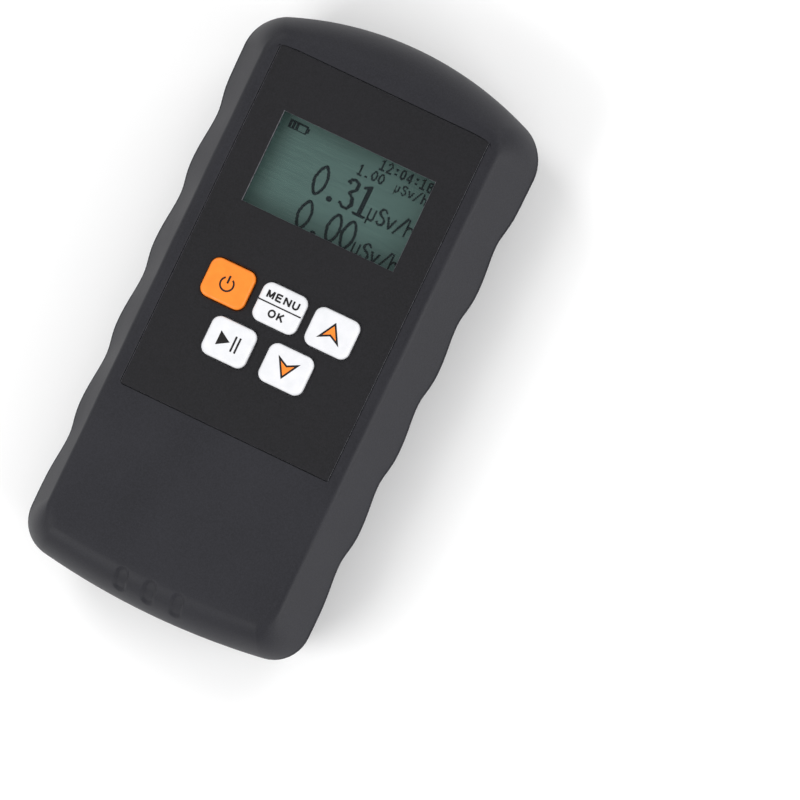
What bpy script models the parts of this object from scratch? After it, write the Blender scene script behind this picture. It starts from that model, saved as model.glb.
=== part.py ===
"""Handheld radiation survey meter, lying on its back.

Two moulded shells meet at a parting plane, which is the widest section. The front shell carries a
thin graphic panel, the display and five keys over a circuit board; the back shell carries a
diagonal detector tube behind a row of holes, and two cells across the heel under a slide-off door.

Axes: +X to the right of someone reading the display, +Y towards the arched top end, +Z out of the
front face. The origin is on the back face, at the middle of the outline.
"""

import math

import bmesh
import bpy
from mathutils import Matrix, Vector

for existing in list(bpy.data.objects):
    bpy.data.objects.remove(existing, do_unlink=True)

MM = 0.001
GAP = 0.3 * MM  # left between pieces that rest on each other

# ---- Body ----
BODY_LENGTH = 155.0 * MM
SHOULDER_WIDTH = 81.0 * MM  # parting plane, where the side meets the top corner
HEEL_WIDTH = 77.8 * MM  # parting plane, where the side meets the bottom corner
BODY_THICKNESS = 32.0 * MM  # back face to front face
FRONT_DEPTH = 13.3 * MM  # parting plane to front face
FACE_WIDTH = 65.0 * MM  # flat between the side creases, front and back
TOP_ROLL = 10.5 * MM  # the flat face stops this far short of the top end
HEEL_ROLL = 9.3 * MM
TOP_ARCH_RADIUS = 89.0 * MM
HEEL_ARCH_RADIUS = 200.0 * MM
FACE_ARCH_RADIUS = 300.0 * MM
TOP_CORNER_RADIUS = 11.5 * MM
HEEL_CORNER_RADIUS = 9.5 * MM
FACE_CORNER_RADIUS = 5.0 * MM
WALL = 2.4 * MM

# ---- Finger grips along both sides ----
GRIP_COUNT = 5
GRIP_FIRST_Y = 42.0 * MM
GRIP_PITCH = 22.0 * MM
GRIP_DEPTH = 1.1 * MM
GRIP_RISE_ABOVE = 5.0 * MM  # each dip is steeper on its top side
GRIP_RISE_BELOW = 8.0 * MM

# ---- Front panel and display ----
PANEL_WIDTH = 58.0 * MM
PANEL_LENGTH = 92.7 * MM
PANEL_TOP_MARGIN = 13.35 * MM  # body's top end to the panel
PANEL_THICKNESS = 0.6 * MM
PANEL_SINK = 0.2 * MM  # the panel's face lies this far below the shell's
WINDOW_WIDTH = 42.3 * MM
WINDOW_HEIGHT = 24.5 * MM
WINDOW_TOP_MARGIN = 14.65 * MM  # panel's top edge to the window
PANE_THICKNESS = 0.7 * MM
PANE_OVERLAP = 2.5 * MM  # of the pane behind the edge of the opening
LCD_SIDE_BORDER = 2.85 * MM  # of the glass behind the shell, past the window
LCD_END_BORDER = 4.0 * MM
LCD_GLASS_THICKNESS = 1.8 * MM
LCD_BACKLIGHT_THICKNESS = 2.0 * MM
LCD_BEZEL_WALL = 1.6 * MM
LCD_BEZEL_LIP = 0.5 * MM
LCD_FOOT_ROOM = 0.8 * MM  # backlight to board

# ---- Keys ----
KEY_WIDTH = 12.15 * MM
KEY_HEIGHT = 10.3 * MM
KEY_CORNER = 2.3 * MM
KEY_PROUD = 1.3 * MM  # above the panel
KEY_EDGE = 0.6 * MM  # rounding of the rim
KEY_CLEARANCE = 0.3 * MM
KEY_FLANGE = 0.8 * MM  # the flange reaches this far past the cap
KEY_FLANGE_THICKNESS = 0.8 * MM
KEY_STEM = 4.0 * MM
KEYS_DROP = 15.0 * MM  # window to the upper row of keys
UPPER_ROW_SPACE = 0.85 * MM  # between neighbouring flanges
LOWER_ROW_SPACE = 2.25 * MM
ROW_SPACE = 1.05 * MM
KEYS_SIDESTEP = -0.5 * MM  # the keys sit a little left of the window
SWITCH_SIDE = 6.0 * MM
SWITCH_HEIGHT = 3.5 * MM
PLUNGER_RADIUS = 1.75 * MM
PLUNGER_SEAT = 1.0 * MM  # length of plunger inside the switch
PLUNGER_TRAVEL_ROOM = 0.8 * MM

# ---- Circuit board ----
BOARD_WIDTH = 57.0 * MM
BOARD_TOP_MARGIN = 16.0 * MM  # body's top end to the board
BOARD_HEEL_ROOM = 2.0 * MM  # battery door's top edge to the board
BOARD_THICKNESS = 1.6 * MM
BOARD_SCREW_X = 25.3 * MM
BOARD_SCREW_INSET = 3.4 * MM  # from the board's top and bottom edges
BOARD_BOSS_RADIUS = 2.4 * MM
SCREW_RADIUS = 1.0 * MM
SCREW_HEAD_RADIUS = 2.0 * MM
SCREW_HEAD_HEIGHT = 1.4 * MM
CROSS_REACH = 0.68  # length of each bar of the cross recess, as a share of the head's width
CROSS_WIDTH = 0.19
CROSS_DEPTH = 0.55  # as a share of the head's height

# ---- Parts under the board; each spot is measured in from the board's nearest side and end ----
PROCESSOR_SPOT = (11.5 * MM, 31.5 * MM)
PROCESSOR_SIDE = 10.0 * MM
PROCESSOR_HEIGHT = 1.4 * MM
CRYSTAL_SPOT = (10.5 * MM, 21.0 * MM)
CRYSTAL_SIZE = (8.0 * MM, 3.5 * MM)
CRYSTAL_HEIGHT = 2.5 * MM
BUZZER_SPOT = (10.5 * MM, 18.0 * MM)
BUZZER_RADIUS = 6.0 * MM
BUZZER_HEIGHT = 7.0 * MM
INDUCTOR_SPOT = (12.0 * MM, 36.0 * MM)
INDUCTOR_HEIGHT = 7.0 * MM
INDUCTOR_FLANGE_RADIUS = 4.6 * MM
INDUCTOR_FLANGE_THICKNESS = 1.2 * MM
INDUCTOR_CORE_RADIUS = 3.2 * MM
CAPACITOR_SPOT = (7.5 * MM, 45.0 * MM)
CAPACITOR_PITCH = 6.0 * MM
CAPACITOR_RADIUS = 2.5 * MM
CAPACITOR_EDGE = 0.3 * MM
CAPACITOR_HEIGHTS = (7.5 * MM, 8.5 * MM)

# ---- Supply wires ----
SUPPLY_WIRE_RADIUS = 0.6 * MM
RED_WIRE_X = -22.0 * MM
BLACK_WIRE_X = -19.0 * MM
SUPPLY_WIRE_BOW = 2.0 * MM  # sideways, half way along
SUPPLY_WIRE_REACH = 8.0 * MM  # under the board
SUPPLY_WIRE_STEPS = 24

# ---- Detector tube and the row of holes over it ----
TUBE_RADIUS = 5.0 * MM
TUBE_NECK_RADIUS = 3.5 * MM
TUBE_SHOULDER = 2.0 * MM  # length of each tapered end
TUBE_LENGTH = 76.0 * MM
TUBE_CAP_RADIUS = 3.2 * MM
TUBE_CAP_LENGTH = 6.0 * MM
TUBE_CENTRE_X = -4.0 * MM
TUBE_RISE = 47.0 * MM  # battery door's top edge to the tube's middle
TUBE_LEAN = math.radians(31.0)  # from +Y towards +X
CLIP_THICKNESS = 0.8 * MM
CLIP_WIDTH = 4.0 * MM
CLIP_OPENING = math.radians(50.0)  # half the gap at the bottom of the strip
CLIP_POST_WIDTH = 3.6 * MM
HOLE_COUNT = 11
HOLE_PITCH = 4.56 * MM
HOLE_RADIUS = 0.85 * MM

# ---- Cells and their compartment ----
CELL_RADIUS = 7.1 * MM
CELL_LENGTH = 50.3 * MM  # with the nub
CELL_NUB_RADIUS = 2.7 * MM
CELL_NUB_LENGTH = 1.4 * MM
CELL_EDGE = 0.6 * MM
CELL_ROOM = 0.4 * MM  # round each cell
SPRING_LENGTH = 4.4 * MM
SPRING_RADIUS = 3.8 * MM
SPRING_TIP_RADIUS = 2.2 * MM
SPRING_WIRE = 0.35 * MM  # radius
SPRING_TURNS = 4
SPRING_STEPS = 10  # points in each turn
CONTACT_THICKNESS = 0.5 * MM
CONTACT_WIDTH = 9.0 * MM
CONTACT_HEIGHT = 10.0 * MM
COMPARTMENT_WALL = 1.5 * MM
HEEL_STRIP = 13.7 * MM  # body's heel end to the compartment

# ---- Battery door ----
DOOR_SIDE_MARGIN = 1.6 * MM  # side crease to the door
DOOR_THICKNESS = 1.8 * MM
DOOR_RISE = 9.0 * MM  # how far the door climbs the heel
DOOR_WALL = 2.0 * MM  # shell wall behind the door
LEDGE = 2.2 * MM  # seat for the door's top edge
TONGUE_WIDTH = 11.0 * MM
TONGUE_LENGTH = 4.2 * MM
TONGUE_THICKNESS = 0.9 * MM
TONGUE_PAD = 1.4 * MM  # shell material over the tongue's slot
SLIDE_ROOM = 0.2 * MM  # over the tongue and the lugs as they slide
LUG_RISE = 12.5 * MM  # body's heel end to the lugs
LUG_LENGTH = 2.6 * MM
LUG_REACH = 0.9 * MM
LUG_HEIGHT = 0.8 * MM
RIDGE_COUNT = 5
RIDGE_PITCH = 1.6 * MM
RIDGE_WIDTH = 9.0 * MM
RIDGE_CUT = 0.7 * MM
RIDGE_DEPTH = 0.45 * MM
RIDGE_FIRST = 3.0 * MM  # below the door's top edge
DOOR_ROOT = 2.0 * MM  # overlap of the tongue and the lugs with the door

# ---- Case screws in the strip under the door ----
CASE_SCREW_X = 23.5 * MM
CASE_SCREW_RISE = 8.3 * MM  # body's heel end to the screws
CASE_SCREW_RADIUS = 1.25 * MM
CASE_SCREW_GRIP = 8.6 * MM  # length of the screw inside the front shell's boss
CASE_SCREW_HEAD_RADIUS = 2.3 * MM
CASE_SCREW_HEAD_HEIGHT = 1.7 * MM
CASE_SCREW_CROWN = 0.8  # radius of the head's flat, as a share of the head's
BOSS_WALL = 1.6 * MM
BOSS_MEET_DEPTH = 5.5 * MM  # parting plane to where the two shells' bosses meet
BOSS_TOP_DEPTH = 3.4 * MM  # front face to the top of the front shell's boss, inside the rolled wall
ACCESS_HOLE_X = -14.2 * MM
ACCESS_HOLE_RADIUS = 2.6 * MM

# ---- Slots in the heel of the front shell ----
SLOT_COUNT = 3
SLOT_PITCH = 7.8 * MM
SLOT_WIDTH = 3.0 * MM
SLOT_LENGTH = 6.0 * MM
SLOT_RISE = 4.5 * MM  # body's heel end to the middle of the slots
SLOT_DEPTH = 0.7 * MM
SLOT_CORNER = 0.49  # as a share of the width: a round end

# ---- Mesh fineness ----
SIDE_STEPS = 34
CORNER_STEPS = 5
END_STEPS = 6  # per half of an end arch
ROLL_STEPS = 4
ROUND_SIDES = 24


def heel_roll_height(from_end, depth):
    """How far the rolled heel has left its face, at a distance from the heel's end."""
    share = min(max(1 - from_end / HEEL_ROLL, 0.0), 1.0)
    return depth * (1 - math.sqrt(1 - share**2))


# ---- Places worked out from the sizes above ----
HALF_LENGTH = BODY_LENGTH / 2
PARTING_Z = BODY_THICKNESS - FRONT_DEPTH
FRONT_INNER_Z = BODY_THICKNESS - WALL
PANEL_TOP_Z = BODY_THICKNESS - PANEL_SINK
PANEL_BOTTOM_Z = PANEL_TOP_Z - PANEL_THICKNESS

PANEL_TOP_Y = HALF_LENGTH - PANEL_TOP_MARGIN
PANEL_CENTRE_Y = PANEL_TOP_Y - PANEL_LENGTH / 2
WINDOW_CENTRE_Y = PANEL_TOP_Y - WINDOW_TOP_MARGIN - WINDOW_HEIGHT / 2
LCD_WIDTH = WINDOW_WIDTH + 2 * LCD_SIDE_BORDER
LCD_HEIGHT = WINDOW_HEIGHT + 2 * LCD_END_BORDER
PANE_TOP_Z = FRONT_INNER_Z - GAP
PANE_BOTTOM_Z = PANE_TOP_Z - PANE_THICKNESS
BEZEL_TOP_Z = PANE_BOTTOM_Z - GAP
LCD_TOP_Z = BEZEL_TOP_Z - LCD_BEZEL_LIP - GAP
LCD_BOTTOM_Z = LCD_TOP_Z - LCD_GLASS_THICKNESS
BACKLIGHT_TOP_Z = LCD_BOTTOM_Z - GAP
BACKLIGHT_BOTTOM_Z = BACKLIGHT_TOP_Z - LCD_BACKLIGHT_THICKNESS

BOARD_TOP_Z = BACKLIGHT_BOTTOM_Z - LCD_FOOT_ROOM
BOARD_BOTTOM_Z = BOARD_TOP_Z - BOARD_THICKNESS
SWITCH_BOTTOM_Z = BOARD_TOP_Z + GAP
SWITCH_TOP_Z = SWITCH_BOTTOM_Z + SWITCH_HEIGHT
FLANGE_TOP_Z = FRONT_INNER_Z - GAP
FLANGE_BOTTOM_Z = FLANGE_TOP_Z - KEY_FLANGE_THICKNESS
PLUNGER_TOP_Z = SWITCH_TOP_Z + PLUNGER_TRAVEL_ROOM
STEM_BOTTOM_Z = PLUNGER_TOP_Z + GAP
KEY_TOP_Z = PANEL_TOP_Z + KEY_PROUD

FLANGE_WIDTH = KEY_WIDTH + 2 * KEY_FLANGE
FLANGE_HEIGHT = KEY_HEIGHT + 2 * KEY_FLANGE
UPPER_ROW_PITCH = FLANGE_WIDTH + UPPER_ROW_SPACE
LOWER_ROW_PITCH = FLANGE_WIDTH + LOWER_ROW_SPACE
UPPER_ROW_Y = WINDOW_CENTRE_Y - WINDOW_HEIGHT / 2 - KEYS_DROP - KEY_HEIGHT / 2
LOWER_ROW_Y = UPPER_ROW_Y - FLANGE_HEIGHT - ROW_SPACE

DOOR_SEAT = DOOR_THICKNESS + GAP  # depth of the recess that takes the door
CELL_AXIS_Z = DOOR_SEAT + GAP + CELL_RADIUS
COMPARTMENT_TOP_Z = CELL_AXIS_Z + CELL_RADIUS + CELL_ROOM
COMPARTMENT_MIN_Y = -HALF_LENGTH + HEEL_STRIP
LOWER_CELL_Y = COMPARTMENT_MIN_Y + CELL_ROOM + CELL_RADIUS
UPPER_CELL_Y = LOWER_CELL_Y + 2 * CELL_RADIUS + CELL_ROOM
COMPARTMENT_MAX_Y = UPPER_CELL_Y + CELL_RADIUS + CELL_ROOM
SPRING_END_ROOM = GAP + CONTACT_THICKNESS + GAP + SPRING_LENGTH + GAP
PLATE_END_ROOM = GAP + CONTACT_THICKNESS + GAP
COMPARTMENT_HALF = (CELL_LENGTH + SPRING_END_ROOM + PLATE_END_ROOM) / 2

DOOR_TOP_Y = COMPARTMENT_MAX_Y + LEDGE
DOOR_HALF_WIDTH = FACE_WIDTH / 2 - DOOR_SIDE_MARGIN
LUG_Y = -HALF_LENGTH + LUG_RISE
CASE_SCREW_Y = -HALF_LENGTH + CASE_SCREW_RISE
BOSS_MEET_Z = PARTING_Z - BOSS_MEET_DEPTH
CASE_SCREW_TIP_Z = BOSS_MEET_Z + CASE_SCREW_GRIP
CASE_SCREW_EDGE_X = CASE_SCREW_X + CASE_SCREW_HEAD_RADIUS
CASE_SCREW_EDGE = (
    CASE_SCREW_RISE - CASE_SCREW_HEAD_RADIUS - DOOR_THICKNESS
    - CASE_SCREW_EDGE_X**2 / (2 * HEEL_ARCH_RADIUS)
)  # from the door's inner heel end to the screw head, with the arch's sag at the screw
CASE_SCREW_HEAD_Z = (
    DOOR_THICKNESS + heel_roll_height(CASE_SCREW_EDGE, PARTING_Z - DOOR_THICKNESS) + GAP
)
CASE_SCREW_SEAT_Z = CASE_SCREW_HEAD_Z + CASE_SCREW_HEAD_HEIGHT + GAP
SLOT_CENTRE_Y = -HALF_LENGTH + SLOT_RISE
BOARD_TOP_Y = HALF_LENGTH - BOARD_TOP_MARGIN
BOARD_HEEL_Y = DOOR_TOP_Y + BOARD_HEEL_ROOM
TUBE_AXIS_Z = WALL + GAP + TUBE_RADIUS
TUBE_CENTRE_Y = DOOR_TOP_Y + TUBE_RISE
TUBE_DIRECTION = Vector((math.sin(TUBE_LEAN), math.cos(TUBE_LEAN), 0.0))

KEYS = {
    "power": (KEYS_SIDESTEP - UPPER_ROW_PITCH, UPPER_ROW_Y),
    "menu": (KEYS_SIDESTEP, UPPER_ROW_Y),
    "up": (KEYS_SIDESTEP + UPPER_ROW_PITCH, UPPER_ROW_Y),
    "run": (KEYS_SIDESTEP - LOWER_ROW_PITCH / 2, LOWER_ROW_Y),
    "down": (KEYS_SIDESTEP + LOWER_ROW_PITCH / 2, LOWER_ROW_Y),
}
FAR = 4 * WALL  # how far a cutter runs past what it cuts


# ---- Materials ----
def material(name, colour, roughness, metallic=0.0):
    made = bpy.data.materials.new(name)
    made.use_nodes = True
    shader = made.node_tree.nodes["Principled BSDF"]
    shader.inputs["Base Color"].default_value = (*colour, 1.0)
    shader.inputs["Roughness"].default_value = roughness
    shader.inputs["Metallic"].default_value = metallic
    return made


SHELL_BLACK = material("shell_black", (0.036, 0.037, 0.042), 0.55)
PANEL_BLACK = material("panel_black", (0.020, 0.020, 0.022), 0.45)
KEY_WHITE = material("key_white", (0.86, 0.87, 0.89), 0.35)
KEY_ORANGE = material("key_orange", (0.93, 0.27, 0.03), 0.35)
CLEAR_PANE = material("clear_pane", (0.85, 0.9, 0.9), 0.05)
LCD_GREEN = material("lcd_green", (0.12, 0.20, 0.18), 0.3)
DIFFUSER = material("diffuser", (0.8, 0.82, 0.8), 0.4)
BOARD_GREEN = material("board_green", (0.03, 0.14, 0.06), 0.4)
CHIP_BLACK = material("chip_black", (0.02, 0.02, 0.02), 0.5)
STEEL = material("steel", (0.60, 0.60, 0.58), 0.3, 1.0)
NICKEL = material("nickel", (0.66, 0.64, 0.58), 0.25, 1.0)
TUBE_METAL = material("tube_metal", (0.42, 0.42, 0.44), 0.35, 1.0)
CELL_SLEEVE = material("cell_sleeve", (0.05, 0.10, 0.30), 0.3)
WIRE_RED = material("wire_red", (0.5, 0.02, 0.02), 0.4)
WIRE_BLACK = material("wire_black", (0.02, 0.02, 0.02), 0.4)
FERRITE = material("ferrite", (0.06, 0.06, 0.065), 0.6)


# ---- Making and joining shapes ----
def finish(name, mesh_work, surface, sharp_degrees=35.0):
    """Turns a bmesh into a named object with its faces pointing out."""
    bmesh.ops.recalc_face_normals(mesh_work, faces=mesh_work.faces)
    mesh = bpy.data.meshes.new(name)
    mesh_work.to_mesh(mesh)
    mesh_work.free()
    mesh.shade_smooth()
    mesh.set_sharp_from_angle(angle=math.radians(sharp_degrees))
    if surface:
        mesh.materials.append(surface)
    made = bpy.data.objects.new(name, mesh)
    bpy.context.scene.collection.objects.link(made)
    return made


def loft(rings):
    """A closed solid through rings of equal point count, capped at both ends.

    The sides are triangles, because a twisted quad isn't flat and a Boolean needs flat faces.
    """
    work = bmesh.new()
    loops = [[work.verts.new(point) for point in ring] for ring in rings]
    count = len(loops[0])
    for lower, upper in zip(loops, loops[1:]):
        for i in range(count):
            j = (i + 1) % count
            work.faces.new((lower[i], lower[j], upper[j]))
            work.faces.new((lower[i], upper[j], upper[i]))
    work.faces.new(loops[0])
    work.faces.new(loops[-1])
    return work


def helper(made):
    """Marks a cutter or an added shape, which isn't a piece of its own."""
    made.hide_render = True
    made.display_type = "WIRE"
    return made


def boolean(target, operation, *others):
    for other in others:
        modifier = target.modifiers.new(other.name, "BOOLEAN")
        modifier.operation = operation
        modifier.solver = "EXACT"
        modifier.object = helper(other)
    return target


def box_rings(low, high):
    corners = ((low[0], low[1]), (high[0], low[1]), (high[0], high[1]), (low[0], high[1]))
    return [[(x, y, z) for x, y in corners] for z in (low[2], high[2])]


def box(name, low, high, surface=None):
    return finish(name, loft(box_rings(low, high)), surface)


def centred_box(name, centre, size, low_z, high_z, surface=None):
    low = (centre[0] - size[0] / 2, centre[1] - size[1] / 2, low_z)
    high = (centre[0] + size[0] / 2, centre[1] + size[1] / 2, high_z)
    return box(name, low, high, surface)


def rounded_ring(centre, width, height, corner, z, steps=3):
    """A rectangle with round corners, anticlockwise, at one height."""
    ring = []
    for quarter in range(4):
        toward = (math.pi / 4) + quarter * math.pi / 2
        across = math.copysign(width / 2 - corner, math.cos(toward))
        along = math.copysign(height / 2 - corner, math.sin(toward))
        for step in range(steps + 1):
            turn = quarter * math.pi / 2 + step * math.pi / 2 / steps
            ring.append((
                centre[0] + across + corner * math.cos(turn),
                centre[1] + along + corner * math.sin(turn),
                z,
            ))
    return ring


def turned(name, profile, place, surface=None, sides=ROUND_SIDES):
    """A solid of revolution: profile is (radius, distance along the local Z axis) pairs."""
    rings = []
    for radius, along in profile:
        turns = (2 * math.pi * i / sides for i in range(sides))
        rings.append([place @ Vector((radius * math.cos(a), radius * math.sin(a), along)) for a in turns])
    return finish(name, loft(rings), surface)


def upright(x, y, z=0.0):
    return Matrix.Translation((x, y, z))


def cylinder(name, x, y, radius, low_z, high_z, surface=None, sides=ROUND_SIDES):
    return turned(name, [(radius, low_z), (radius, high_z)], upright(x, y), surface, sides)


def wire(name, points, radius, surface, resolution=1):
    """A round wire through the points, with closed ends."""
    curve = bpy.data.curves.new(name, "CURVE")
    curve.dimensions = "3D"
    curve.bevel_depth = radius
    curve.bevel_resolution = resolution
    curve.use_fill_caps = True
    spline = curve.splines.new("POLY")
    spline.points.add(len(points) - 1)
    for point, place in zip(spline.points, points):
        point.co = (*place, 1.0)
    curve.materials.append(surface)
    made = bpy.data.objects.new(name, curve)
    bpy.context.scene.collection.objects.link(made)
    return made


# ---- The body's surface ----
def grip_dip(y):
    """How far the finger grips draw the side in at y."""
    drawn = 0.0
    for index in range(GRIP_COUNT):
        away = y - (GRIP_FIRST_Y - index * GRIP_PITCH)
        rise = GRIP_RISE_ABOVE if away > 0 else GRIP_RISE_BELOW
        drawn += GRIP_DEPTH * math.exp(-((away / rise) ** 2))
    return drawn


def corner_centre(half_width, end, arch, corner):
    """Middle of the fillet between a straight side and an arched end, for an end at +Y."""
    across = half_width - corner
    return across, end - arch + math.sqrt((arch - corner) ** 2 - across**2)


def half_outline(top_half, heel_half, top, heel, arches, corners, dips):
    """Right half of an outline from the heel's middle to the top's middle: (x, y, endness)."""
    heel_across, heel_y = corner_centre(heel_half, -heel, arches[1], corners[1])
    top_across, top_y = corner_centre(top_half, top, arches[0], corners[0])
    heel_y = -heel_y
    heel_turn = math.asin(heel_across / (arches[1] - corners[1]))
    top_turn = math.asin(top_across / (arches[0] - corners[0]))
    path = []
    for step in range(END_STEPS):
        turn = heel_turn * step / END_STEPS
        path.append((arches[1] * math.sin(turn), heel + arches[1] * (1 - math.cos(turn)), 1.0))
    for step in range(CORNER_STEPS):
        share = step / CORNER_STEPS
        turn = heel_turn + (math.pi / 2 - heel_turn) * share
        x = heel_across + corners[1] * math.sin(turn)
        path.append((x, heel_y - corners[1] * math.cos(turn), 1 - share))
    for step in range(SIDE_STEPS + 1):
        share = step / SIDE_STEPS
        y = heel_y + (top_y - heel_y) * share
        half = heel_half + (top_half - heel_half) * share
        path.append((half - (grip_dip(y) if dips else 0.0), y, 0.0))
    for step in range(1, CORNER_STEPS + 1):
        share = step / CORNER_STEPS
        turn = math.pi / 2 + (top_turn - math.pi / 2) * share
        x = top_across + corners[0] * math.sin(turn)
        path.append((x, top_y + corners[0] * math.cos(turn), share))
    for step in range(1, END_STEPS + 1):
        turn = top_turn * (1 - step / END_STEPS)
        path.append((arches[0] * math.sin(turn), top - arches[0] * (1 - math.cos(turn)), 1.0))
    return path


def outline(*sizes):
    right = half_outline(*sizes)
    left = [(-x, y, endness) for x, y, endness in reversed(right[1:-1])]
    return right + left


def parting_outline(inset, side_inset):
    return outline(
        SHOULDER_WIDTH / 2 - side_inset,
        HEEL_WIDTH / 2 - side_inset,
        HALF_LENGTH - inset,
        -HALF_LENGTH + inset,
        (TOP_ARCH_RADIUS - inset, HEEL_ARCH_RADIUS - inset),
        (TOP_CORNER_RADIUS - inset, HEEL_CORNER_RADIUS - inset),
        True,
    )


def face_outline(inset, side_inset):
    corner = max(FACE_CORNER_RADIUS - inset, FACE_CORNER_RADIUS / 5)
    return outline(
        FACE_WIDTH / 2 - side_inset,
        FACE_WIDTH / 2 - side_inset,
        HALF_LENGTH - TOP_ROLL - inset,
        -HALF_LENGTH + HEEL_ROLL + inset,
        (FACE_ARCH_RADIUS - inset, FACE_ARCH_RADIUS - inset),
        (corner, corner),
        False,
    )


def body_rings(face_z, parting_z, inset, side_inset):
    """Rings from the flat face to the parting plane.

    The sides are straight slopes and the ends are quarter ellipses; the corners blend the two.
    """
    face = face_outline(inset, side_inset)
    parting = parting_outline(inset, side_inset)
    rings = []
    for step in range(ROLL_STEPS + 1):
        t = step / ROLL_STEPS
        rolled_out = math.sin(t * math.pi / 2)
        rolled_down = 1 - math.cos(t * math.pi / 2)
        ring = []
        for (fx, fy, endness), (px, py, _) in zip(face, parting):
            out = t + (rolled_out - t) * endness
            down = t + (rolled_down - t) * endness
            ring.append((fx + (px - fx) * out, fy + (py - fy) * out, face_z + (parting_z - face_z) * down))
        rings.append(ring)
    return rings


def body_shell(name, face_z, parting_z, inner_face_z, surface):
    outer = body_rings(face_z, parting_z, 0.0, 0.0)
    inner = body_rings(inner_face_z, parting_z, WALL, WALL)
    return finish(name, loft(outer + inner[::-1]), surface)


def back_body(name, inset, surface=None, side_inset=0.0):
    """The back half as a solid, drawn in by inset at its face and its ends."""
    return finish(name, loft(body_rings(inset, PARTING_Z - GAP / 2, inset, side_inset)), surface)


# ---- Front shell ----
def front_shell():
    shell = body_shell("front_shell", BODY_THICKNESS, PARTING_Z + GAP / 2, FRONT_INNER_Z, SHELL_BLACK)
    bury = WALL / 4
    for side in (-1, 1):
        label = "right" if side > 0 else "left"
        case_boss_radius = CASE_SCREW_RADIUS + GAP + BOSS_WALL
        boolean(shell, "UNION", cylinder(
            f"case_boss_{label}", side * CASE_SCREW_X, CASE_SCREW_Y, case_boss_radius,
            BOSS_MEET_Z + GAP, BODY_THICKNESS - BOSS_TOP_DEPTH,
        ))
        for end, y in board_screw_rows():
            boolean(shell, "UNION", cylinder(
                f"board_boss_{end}_{label}", side * BOARD_SCREW_X, y, BOARD_BOSS_RADIUS,
                BOARD_TOP_Z + GAP, FRONT_INNER_Z + bury, sides=16,
            ))
    for side in (-1, 1):
        label = "right" if side > 0 else "left"
        boolean(shell, "DIFFERENCE", cylinder(
            f"case_bore_{label}", side * CASE_SCREW_X, CASE_SCREW_Y, CASE_SCREW_RADIUS + GAP,
            BOSS_MEET_Z - FAR, CASE_SCREW_TIP_Z + GAP, sides=16,
        ))
        for end, y in board_screw_rows():
            boolean(shell, "DIFFERENCE", cylinder(
                f"board_bore_{end}_{label}", side * BOARD_SCREW_X, y, SCREW_RADIUS + GAP,
                BOARD_TOP_Z - FAR, FRONT_INNER_Z - GAP, sides=12,
            ))
    pocket = centred_box(
        "panel_pocket", (0.0, PANEL_CENTRE_Y), (PANEL_WIDTH + 2 * GAP, PANEL_LENGTH + 2 * GAP),
        PANEL_BOTTOM_Z - GAP, BODY_THICKNESS + FAR,
    )
    return boolean(shell, "DIFFERENCE", pocket, *front_openings("shell", GAP), *heel_slots())


def front_openings(owner, clearance):
    """Cutters for the display window and the keys, for the shell or the panel."""
    window = centred_box(
        f"{owner}_window_opening", (0.0, WINDOW_CENTRE_Y),
        (WINDOW_WIDTH + 2 * clearance, WINDOW_HEIGHT + 2 * clearance),
        FRONT_INNER_Z - FAR, BODY_THICKNESS + FAR,
    )
    keys = []
    for key, place in KEYS.items():
        rings = [
            rounded_ring(
                place, KEY_WIDTH + 2 * KEY_CLEARANCE, KEY_HEIGHT + 2 * KEY_CLEARANCE,
                KEY_CORNER + KEY_CLEARANCE, z,
            )
            for z in (FRONT_INNER_Z - FAR, BODY_THICKNESS + FAR)
        ]
        keys.append(finish(f"{owner}_{key}_opening", loft(rings), None))
    return [window, *keys]


def heel_slots():
    """Shallow slots pressed into the rolled heel, each laid along the roll's slope."""
    slots = []
    surface_z = BODY_THICKNESS - heel_roll_height(SLOT_RISE, FRONT_DEPTH)
    turn = math.asin(1 - SLOT_RISE / HEEL_ROLL)
    slope = math.atan2(FRONT_DEPTH * math.sin(turn), HEEL_ROLL * math.cos(turn))
    for index in range(SLOT_COUNT):
        x = (index - (SLOT_COUNT - 1) / 2) * SLOT_PITCH
        place = upright(x, SLOT_CENTRE_Y, surface_z) @ Matrix.Rotation(slope, 4, "X")
        rings = [
            [place @ Vector(point) for point in rounded_ring(
                (0.0, 0.0), SLOT_WIDTH, SLOT_LENGTH, SLOT_WIDTH * SLOT_CORNER, z, steps=4)]
            for z in (-SLOT_DEPTH, FAR)
        ]
        slots.append(finish(f"heel_slot_{index}", loft(rings), None))
    return slots


def front_panel():
    panel = centred_box(
        "front_panel", (0.0, PANEL_CENTRE_Y), (PANEL_WIDTH, PANEL_LENGTH),
        PANEL_BOTTOM_Z, PANEL_TOP_Z, PANEL_BLACK,
    )
    return boolean(panel, "DIFFERENCE", *front_openings("panel", 0.0))


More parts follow.
